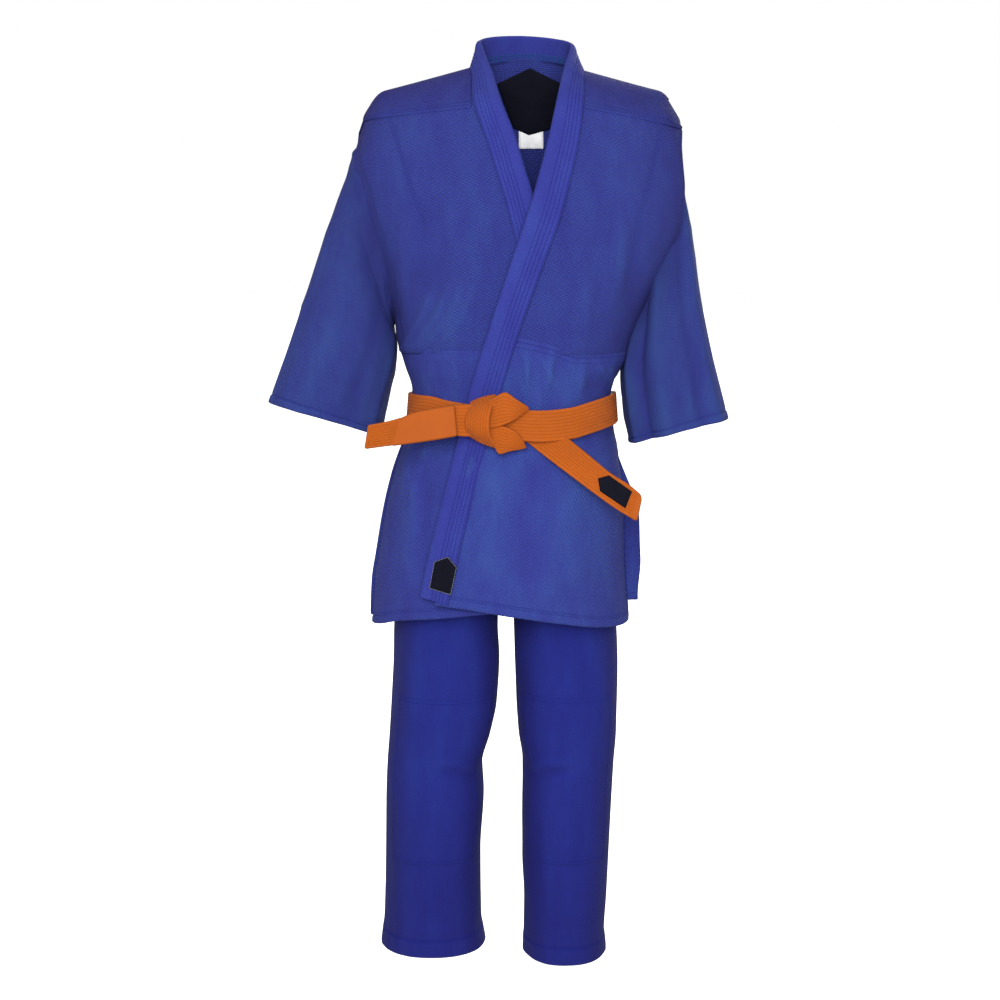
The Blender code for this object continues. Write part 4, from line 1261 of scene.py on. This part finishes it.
# ------------------------------------------------------------------ belt
BELT_WIDE = 0.0395
BELT_LEVEL = [(-0.145, -0.4745), (-0.1373, -0.4737), (-0.1173, -0.4737), (-0.09, -0.4785),
              (-0.0622, -0.4815), (0.0, -0.487), (0.04, -0.4895), (0.0785, -0.4868),
              (0.103, -0.4815), (0.13, -0.476), (0.148, -0.473)]
BELT_BACK_Z = -0.477
BELT_ROWS = [(k + 0.9) / 8.8 for k in range(8)]  # shares of the width


def belt_rows(net, width):
    """Shallow grooves of the belt's stitched rows; u runs across the belt."""
    share = net.uv[..., 0] / width
    h = np.zeros(share.shape)
    for at in BELT_ROWS:
        h -= 0.0006 * np.exp(-(((share - at) * width) / 0.0007) ** 2)
    return h


def belt_ribbon(name, node, look, body, bulge, thick, long, lower, upper):
    """A length of belt between two edges, each a smooth line through its points."""
    across = 44
    a, b = through(lower, long), through(upper, long)
    t = np.linspace(0, 1, across)[None, :, None]
    net = Net(a[:, None] * (1 - t) + b[:, None] * t, (0.0, 0.0, -0.48))
    width = float(np.linalg.norm(b - a, axis=1).mean())
    run = run_along(0.5 * (a + b))
    net.uv = np.stack(np.broadcast_arrays(t[..., 0] * width, run[:, None]), 2)
    rise = bulge * (1 - (2 * t[..., 0] - 1) ** 2) + 0 * run[:, None]
    if look is BELT_COTTON:
        rise = rise + belt_rows(net, width)
        # tone: painted shade in the grooves of the stitched rows
        net.tone = -belt_rows(net, width) * 450.0
    net.push(rise)
    piece = sew(name, net, look, thick, [node] if node else [], body)
    if look is BELT_COTTON:
        steps = np.linspace(1.0, long - 2.0, long * 3)
        lines = [net.at(steps, share * (across - 1), 0.0001) for share in BELT_ROWS]
        sew_stitches(f"{name}_stitches", lines, ORANGE_THREAD, body, 0.003, 0.00028)


def build_belt_ring(name, proud, side_proud, drop, node, lean):
    """One wrap round the waist, following the jacket and rising towards the back."""
    long, across = 420, 40
    turn = np.linspace(0, 2 * math.pi, long, endpoint=False)[:, None]
    t = np.linspace(0, 1, across)[None, :]
    x, y = ring(-0.478, turn, TORSO, proud, side_proud)
    proud = proud - 0.8 * OUTER_PANEL * ease((-0.055 - x) / 0.05)
    x, y = ring(-0.478, turn, TORSO, proud, side_proud)
    front = curve([p[0] for p in BELT_LEVEL], [p[1] for p in BELT_LEVEL], x)
    middle = front + (BELT_BACK_Z - front) * ease((y + 0.03) / 0.1) - drop
    shift = lean * (t - 0.5)
    out_x, out_y = np.cos(turn) * 0.6, np.sin(turn)
    wave = 0.0012 * noise(turn * 6 / math.pi, 0 * turn, 77)
    P = np.stack([x + out_x * (shift + wave), y + out_y * (shift + wave),
                  middle + BELT_WIDE * (0.5 - t)], 2)
    P = np.swapaxes(P, 0, 1)
    net = Net(P, (0.0, 0.0, -0.48), wrap=True)
    run = run_along(P[0])
    net.uv = np.stack(np.broadcast_arrays(t.T * BELT_WIDE, run[None, :]), 2)
    # tone: painted shade in the grooves of the stitched rows
    net.tone = -belt_rows(net, BELT_WIDE) * 450.0
    net.push(belt_rows(net, BELT_WIDE))
    piece = sew(name, net, BELT_COTTON, BELT_THICK - 0.0012, [node], "root")
    steps = np.linspace(0, long, long * 3)
    lines = [net.at(share * (across - 1), steps, 0.0001) for share in BELT_ROWS]
    stitch = sew_stitches(f"{name}_stitches", lines, ORANGE_THREAD, "root", 0.003, 0.00028)


# name, CAD node, cloth, body or blend, rise of the middle, thickness, rows along it,
# points of its lower edge, points of its upper edge
BELT_PIECES = (
    ("knot_bar_cloth", "knot_bar", BELT_COTTON, "root", 0.0, BELT_THICK, 24,
     ((-0.085, -0.146, -0.499), (-0.064, -0.1485, -0.5005), (-0.042, -0.147, -0.501)),
     ((-0.085, -0.145, -0.462), (-0.064, -0.1475, -0.4612), (-0.042, -0.146, -0.46))),
    ("knot_wrap_cloth", "knot_wrap", BELT_COTTON, "root", 0.002, BELT_THICK, 56,
     ((-0.056, -0.137, -0.456), (-0.0583, -0.15, -0.4655), (-0.0625, -0.1555, -0.48),
      (-0.0615, -0.153, -0.4934), (-0.0571, -0.142, -0.5035)),
     ((-0.024, -0.137, -0.4465), (-0.0298, -0.157, -0.464), (-0.0327, -0.162, -0.4805),
      (-0.0317, -0.16, -0.4993), (-0.0244, -0.145, -0.518))),
    ("knot_upper_fold_cloth", "knot_upper_fold", BELT_COTTON, "root", 0.0015, BELT_THICK, 48,
     ((-0.0383, -0.152, -0.4906), (-0.0184, -0.1545, -0.487), (0.0003, -0.152, -0.4799),
      (0.0177, -0.1425, -0.47)),
     ((-0.0303, -0.149, -0.4535), (-0.0111, -0.152, -0.4447), (0.0042, -0.15, -0.4532),
      (0.0211, -0.142, -0.4646))),
    ("knot_lower_fold_cloth", None, BELT_COTTON, "root", 0.0015, BELT_THICK, 48,
     ((-0.0317, -0.15, -0.5066), (-0.025, -0.1515, -0.5145), (-0.0173, -0.1515, -0.5239),
      (-0.0024, -0.149, -0.5208), (0.0164, -0.145, -0.5185)),
     ((-0.0383, -0.15, -0.4922), (-0.0184, -0.151, -0.4886), (-0.0024, -0.1495, -0.4933),
      (0.0096, -0.1475, -0.5029), (0.0176, -0.145, -0.5153))),
    ("belt_short_end_satin", "belt_end_right", BELT_SATIN, "short_end", 0.0, 0.0048, 60,
     ((-0.0757, -0.1545, -0.4997), (-0.1101, -0.1555, -0.5055), (-0.1467, -0.155, -0.5106),
      (-0.1608, -0.153, -0.5123)),
     ((-0.079, -0.1535, -0.4616), (-0.1073, -0.1545, -0.4663), (-0.1344, -0.154, -0.4723),
      (-0.1519, -0.152, -0.4798))),
    ("belt_short_end_tip", "belt_tip_right", BELT_COTTON, "short_belt_end", 0.0, 0.0038, 32,
     ((-0.156, -0.153, -0.5116), (-0.178, -0.1515, -0.5146), (-0.1965, -0.15, -0.5172)),
     ((-0.148, -0.1515, -0.4778), (-0.17, -0.15, -0.4838), (-0.192, -0.148, -0.4881))),
    ("belt_long_end_cloth", "belt_end_left", BELT_COTTON, "long_end", 0.0, 0.004, 110,
     ((0.008, -0.13, -0.5), (0.0253, -0.134, -0.5137), (0.0645, -0.145, -0.5432),
      (0.1056, -0.152, -0.5739), (0.1366, -0.155, -0.596), (0.1594, -0.156, -0.6101)),
     ((0.05, -0.129, -0.488), (0.0703, -0.131, -0.504), (0.0991, -0.143, -0.527),
      (0.1287, -0.151, -0.5514), (0.1532, -0.154, -0.5668), (0.168, -0.155, -0.5785))),
    ("belt_long_end_tip", "belt_tip_stitching", BELT_SATIN, "long_belt_end", 0.0, 0.004, 12,
     ((0.159, -0.1562, -0.61), (0.1625, -0.1562, -0.612), (0.1655, -0.156, -0.613)),
     ((0.1678, -0.1552, -0.5783), (0.1705, -0.1552, -0.5812), (0.1722, -0.155, -0.585))),
)


def build_belt():
    """Two wraps, the flat knot and the two free ends."""
    front = OUTER_PANEL + BAND_THICK + 0.004
    build_belt_ring("belt_ring_inner", front - 0.0008, 0.004, 0.0014, "belt_inner_wrap", 0.004)
    build_belt_ring("belt_ring_outer", front + 0.005, 0.009, 0.0, "belt_outer_wrap", 0.005)
    for piece in BELT_PIECES:
        belt_ribbon(*piece)


def patch(node, corners, look, thick, body, border, thread):
    """A sewn-on patch: a flat shape with a rounded edge and a stitched border."""
    corners = np.asarray(corners, float)
    centre = corners.mean(0)
    n = np.cross(corners[1] - corners[0], corners[2] - corners[1])
    n /= np.linalg.norm(n)
    if n[1] > 0:
        n = -n
    loop = np.array([a + (b - a) * t for a, b in zip(corners, np.roll(corners, -1, 0))
                     for t in np.linspace(0.0, 1.0, 14, endpoint=False)])
    # share of the way out from the centre, share of the thickness
    section = ((0.35, 1.0), (0.7, 1.0), (0.93, 1.0), (0.985, 0.75), (1.0, 0.0))
    rings = [centre + (loop - centre) * s + n * thick * h for s, h in section]
    rings.append(loop + n * -0.0005)
    rings.append(centre + (loop - centre) * 0.5 + n * -0.0005)
    m = len(loop)
    vertices = np.vstack(rings + [centre + n * thick, centre + n * -0.0005])
    quads = np.vstack([strip_faces(np.arange(m) + k * m, np.arange(m) + (k + 1) * m)
                       for k in range(len(rings) - 1)])
    first, last = np.arange(m), np.arange(m) + (len(rings) - 1) * m
    tips = np.vstack([
        np.stack([np.roll(first, -1), first, np.full(m, len(vertices) - 2)], 1),
        np.stack([last, np.roll(last, -1), np.full(m, len(vertices) - 1)], 1)])
    uv = np.stack([vertices[:, 0], vertices[:, 2]], 1)
    piece = add_mesh(f"{node}_cloth", vertices, quads, tips, uv, np.zeros(len(vertices)), look,
                     turn_out=True)
    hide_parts(node)
    attach(piece, body)
    inset = centre + (np.vstack([corners, corners[:1]]) - centre) * border + n * thick
    line = np.vstack([np.linspace(a, b, 20) for a, b in zip(inset[:-1], inset[1:])])
    sew_stitches(f"{node}_cloth_stitches", [(line, np.broadcast_to(n, line.shape))], thread,
                 body, 0.0024, 0.00032)


def build_patches():
    """Plain dark patches and the white care label."""
    patch("belt_end_patch", [(0.1137, -0.1512, -0.5579), (0.1286, -0.1518, -0.5538),
                                   (0.1591, -0.1553, -0.5753), (0.1504, -0.1562, -0.5978),
                                   (0.1164, -0.1535, -0.5749)],
          PATCH, 0.0009, "long_belt_end", 0.9, PATCH)
    on_lapel = [(-0.1058, -0.6732), (-0.087, -0.6652), (-0.075, -0.6788), (-0.0831, -0.7166),
                (-0.1126, -0.7096)]
    patch("lapel_badge",
          [(x, float(torso_y(x, z, -1, OUTER_PANEL + BAND_THICK + 0.0012)), z)
           for x, z in on_lapel],
          PATCH, 0.0009, "outer_flap_body", 0.975, GREY_THREAD)
    patch("neck_label", [(0.0253, 0.0635, -0.002), (0.0719, 0.0645, -0.0247),
                               (0.0587, 0.0875, -0.0837), (0.0245, 0.0908, -0.0934),
                               (0.0016, 0.0888, -0.0836), (-0.0213, 0.0685, -0.0233)],
          PATCH, 0.0009, "root", 0.94, PATCH)
    patch("care_label", [(0.0098, 0.0912, -0.0862), (0.0448, 0.0908, -0.0862),
                               (0.0451, 0.0945, -0.1122), (0.0099, 0.095, -0.1122)],
          WHITE, 0.0006, "root", 0.9, GREY_THREAD)


# ------------------------------------------------------------------ trousers
def build_leg(word, table, hand):
    """One trouser leg from the crotch to its stitched hem, with its knee patch."""
    bottom = -1.2565 if hand < 0 else -1.268
    rows, columns = 190, 130
    s = np.linspace(0, 1, rows + 1)[:, None]
    turn = np.linspace(0, 2 * math.pi, columns, endpoint=False)[None, :]
    length = LEG_TOP_Z - bottom
    z = LEG_TOP_Z - length * s + 0 * turn
    outer, inner = read(table, z, 1), read(table, z, 2)
    cosine, sine = np.cos(turn), np.sin(turn)
    half = 0.5 * (outer - inner)
    depth = np.where(sine < 0, read(table, z, 3), read(table, z, 4))
    x = 0.5 * (outer + inner) + half * np.sign(cosine) * np.abs(cosine) ** 0.9
    y = LEG_MIDDLE_Y + depth * np.sign(sine) * np.abs(sine) ** 0.9
    net = Net(np.stack([x, y, z], 2), (0, 0, 0), wrap=True)
    centre = np.stack([0.5 * (outer + inner), 0 * z + LEG_MIDDLE_Y, z], 2)
    net.face_from(centre)
    step = np.linalg.norm(net.P - np.roll(net.P, 1, 1), axis=2).mean(0)
    u = np.concatenate([[0], np.cumsum(step[1:])])[None, :] + 0 * s
    v = (z[:1] - z)
    net.uv = np.stack([u, -v], 2)
    aside = x - centre[..., 0]
    front = ease(-sine * 2)
    h = 0.0014 * crumple(u, 0.35 * v, 0.08, 210 + hand)
    h += ridge(aside, z, [(0.006, -0.74), (0.002, -0.95), (0.0, -1.1), (0.0, -1.25)],
               0.01, 0.002) * front
    h += ridge(aside, z, [(-hand * 0.06, -0.985), (-hand * 0.03, -0.972),
                                  (0.0, -0.968)], 0.006, 0.0022) * front
    h -= ridge(aside, z, [(-hand * 0.062, -0.998), (-hand * 0.03, -0.986),
                                  (0.005, -0.98)], 0.006, 0.0022) * front
    h += ridge(aside, z, [(hand * 0.03, -0.76), (hand * 0.045, -0.86),
                                  (hand * 0.04, -0.95)], 0.012, 0.0018) * front
    up = (1 - s) * length
    h += 0.0007 * ease((0.024 - up) / 0.004) - 0.0006 * np.exp(-((up - 0.024) / 0.0018) ** 2)
    # tone: painted shade where the leg turns sideways, the colour darker towards the hem, and in
    # the push below painted highlight on raised folds with painted shade in the creases
    fade = -0.5 * ease((np.abs(net.normal()[..., 0]) - 0.45) / 0.5) - 0.35 * ease((s - 0.45) / 0.5)
    net.push(h, fade + 50.0 * h)
    how = f"{word}_leg"
    piece = sew(f"{word}_leg_cloth", net, CANVAS_BLUE, CANVAS,
                [f"{word}_thigh", f"{word}_lower_leg", f"{word}_hem_band"], how)
    lines = [net.at(rows * (1 - at / length), np.linspace(0, columns, 520), 0.0001)
             for at in (0.0225, 0.0255)]
    stitch = sew_stitches(f"{word}_leg_stitches", lines, DARK_THREAD, how)
    build_knee_patch(word, net, [int(rows * (LEG_TOP_Z - at) / length) for at in KNEE_LEVELS],
                     [int(columns * at) for at in KNEE_TURNS], how)


def build_knee_patch(word, leg, rows, columns, how):
    """A second layer over the knee, cut from the leg's own net."""
    part = slice(rows[0], rows[1] + 1), slice(columns[0], columns[1] + 1)
    net = Net(leg.P[part] + leg.normal()[part] * 0.0009, (0, 0, 0))
    # the patch takes the leg's tone, with its painted light and shade
    net.sign, net.uv, net.tone = leg.sign, leg.uv[part], leg.tone[part]
    piece = sew(f"{word}_knee_patch_cloth", net, CANVAS_BLUE, 0.001,
                [f"{word}_knee_patch_upper", f"{word}_knee_patch_lower"], how)
    inset = 1.5
    bottom, right = net.P.shape[0] - 1 - inset, net.P.shape[1] - 1 - inset
    lines = [net.at(row, np.linspace(inset, right, 80)) for row in (inset, bottom)]
    lines += [net.at(np.linspace(inset, bottom, 120), column) for column in (inset, right)]
    stitch = sew_stitches(f"{word}_knee_patch_stitches", lines, DARK_THREAD, how)


SEAT_TOP_Z = -0.43
SEAT_LONG = 0.269
LOOP_X = 0.045
LOOP_WIDE = 0.008
LOOP_TOP_Z = -0.433
LOOP_LONG = 0.036
GUSSET_X = -0.0075
GUSSET_WIDE = 0.011
GUSSET_Z = -0.7035


def build_seat():
    """The trousers above the crotch, with the tunnel for the drawstring."""
    rows, columns = 96, 240
    s = np.linspace(0, 1, rows + 1)[:, None]
    turn = np.linspace(0, 2 * math.pi, columns, endpoint=False)[None, :]
    z = SEAT_TOP_Z - SEAT_LONG * s + 0 * turn
    x, y = ring(z, turn, HIPS, 0.0, 0.0)
    net = Net(np.stack([x, y, z], 2), (0.0, 0.0, -0.56), wrap=True)
    u = turn * 0.115 + 0 * s
    v = SEAT_TOP_Z - z
    net.uv = np.stack([u, -v], 2)
    gather = ease((v - 0.02) / 0.02) * ease((0.16 - v) / 0.1)
    h = 0.0022 * gather * noise(turn * 24 / math.pi, v * 6, 301)
    h += 0.0012 * ease((0.04 - v) / 0.003) - 0.0012 * np.exp(-((v - 0.0415) / 0.0016) ** 2)
    # tone: painted highlight on raised gathers with painted shade between them and in the tunnel
    # groove, and darker overall
    net.push(h, 60 * h - 0.4)
    piece = sew("trouser_seat_cloth", net, CANVAS_BLUE, CANVAS,
                ["trouser_seat", "drawstring_tunnel"], "root")
    lines = [net.at(rows * at / SEAT_LONG, np.linspace(0, columns, 900))
             for at in (0.004, 0.0385)]
    stitch = sew_stitches("trouser_seat_stitches", lines, DARK_THREAD, "root")
    build_loops()
    build_gusset()


def build_loops():
    """Two narrow loops on the front of the waistband that guide the drawstring."""
    for word, hand in (("right", HAND_RIGHT), ("left", HAND_LEFT)):
        down = np.linspace(0, 1, 25)[:, None]
        across = np.linspace(-0.5, 0.5, 9)[None, :]
        x = hand * LOOP_X + LOOP_WIDE * across + 0 * down
        z = LOOP_TOP_Z - LOOP_LONG * down + 0 * across
        flat = ring(z, -0.5 * math.pi + 0 * z, HIPS, 0.0, 0.0)[1]
        share = np.abs(x) / read(HIPS, z, 2)
        y = flat * (1 - share ** POWER) ** (1 / POWER)
        rise = 0.0012 + 0.0032 * np.sin(math.pi * down) ** 0.7
        net = Net(np.stack([x, y - rise, z], 2), (0.0, 0.0, -0.5))
        name = f"{word}_drawstring_loop"
        sew(f"{name}_cloth", net, CANVAS_BLUE, 0.0014, [name], "root")
        lines = [net.at(row, np.linspace(0.5, 7.5, 20)) for row in (1.5, 22.5)]
        sew_stitches(f"{name}_stitches", lines, DARK_THREAD, "root", 0.0018)


def build_gusset():
    """The narrow piece that joins the legs at the crotch."""
    along = np.linspace(-0.088, 0.09, 60)[:, None]
    across = np.linspace(-1, 1, 13)[None, :]
    x = GUSSET_X + 0.5 * GUSSET_WIDE * across + 0 * along
    z = GUSSET_Z - 0.012 * (1 - (along / 0.09) ** 2) + 0.0012 * across ** 2
    P = np.stack([x, along + 0 * across, z], 2)
    net = Net(P, (0.0, 0.0, -0.5))
    net.push(0.0004 * crumple(P[..., 0], P[..., 1], 0.02, 401))
    piece = sew("crotch_gusset_cloth", net, CANVAS_BLUE, 0.0018, ["crotch_gusset"], "root")
    lines = [net.at(np.linspace(1, 58, 160), column) for column in (1.0, 11.0)]
    stitch = sew_stitches("crotch_gusset_stitches", lines, DARK_THREAD, "root", 0.0026)


# ------------------------------------------------------------------ stage
FLOOR_HALF = 30.0
FLOOR_Z = -1.3


def build_stage():
    """A plain pale floor, soft light and the camera."""
    corners = [(x * FLOOR_HALF, y * FLOOR_HALF, FLOOR_Z)
               for x, y in ((-1, -1), (1, -1), (1, 1), (-1, 1))]
    floor = add_mesh("floor", corners, [(0, 1, 2, 3)])
    look = Look("floor_white")
    look.shader.inputs["Base Color"].default_value = (0.9, 0.9, 0.9, 1.0)
    look.shader.inputs["Roughness"].default_value = 0.9
    look.shader.inputs["Emission Color"].default_value = (1, 1, 1, 1)
    look.shader.inputs["Emission Strength"].default_value = 1.0
    floor.data.materials.append(look.material)
    floor.visible_diffuse = False
    floor.visible_glossy = False
    world = bpy.data.worlds.new("studio")
    bpy.context.scene.world = world
    world.use_nodes = True
    back = world.node_tree.nodes["Background"]
    back.inputs["Color"].default_value = (1.0, 1.0, 1.0, 1.0)
    seen = world.node_tree.nodes.new("ShaderNodeLightPath")
    strength = world.node_tree.nodes.new("ShaderNodeMapRange")
    strength.inputs["To Min"].default_value = SKY_LIGHT
    strength.inputs["To Max"].default_value = 1.0
    world.node_tree.links.new(seen.outputs["Is Camera Ray"], strength.inputs["Value"])
    world.node_tree.links.new(strength.outputs["Result"], back.inputs["Strength"])
    for name, place, aim, wide, power in (
            ("key", (-0.4, -3.0, 0.6), (0.0, 0.0, -0.5), 1.2, 58.0),
            ("fill", (0.12, -3.1, -0.12), (0.02, 0.0, -0.4), 0.8, 54.0),
            ("back", (1.0, 3.2, 0.8), (0.0, 0.0, -0.5), 1.8, 84.0)):
        data = bpy.data.lights.new(name, "AREA")
        data.shape = "SQUARE"
        data.size = wide
        data.energy = power
        lamp = bpy.data.objects.new(name, data)
        lamp.location = place
        lamp.rotation_euler = (Vector(aim) - Vector(place)).to_track_quat("-Z", "Y").to_euler()
        bpy.context.scene.collection.objects.link(lamp)
    data = bpy.data.cameras.new("camera")
    data.lens = 66.527
    data.sensor_width = 36.0
    camera = bpy.data.objects.new("camera", data)
    camera.location = (-0.01704, -2.6, -0.25276)
    camera.rotation_euler = (math.radians(90.0 - 7.775), 0.0, 0.0)
    bpy.context.scene.collection.objects.link(camera)
    bpy.context.scene.camera = camera
    bpy.context.scene.view_settings.view_transform = "Standard"


build_stage()
build_body()
build_yokes()
build_skirt()
build_collar()
build_sleeve("right", RIGHT_SLEEVE, HAND_RIGHT)
build_sleeve("left", LEFT_SLEEVE, HAND_LEFT)
build_belt()
build_patches()
build_seat()
build_leg("right", RIGHT_LEG, HAND_RIGHT)
build_leg("left", LEFT_LEG, HAND_LEFT)
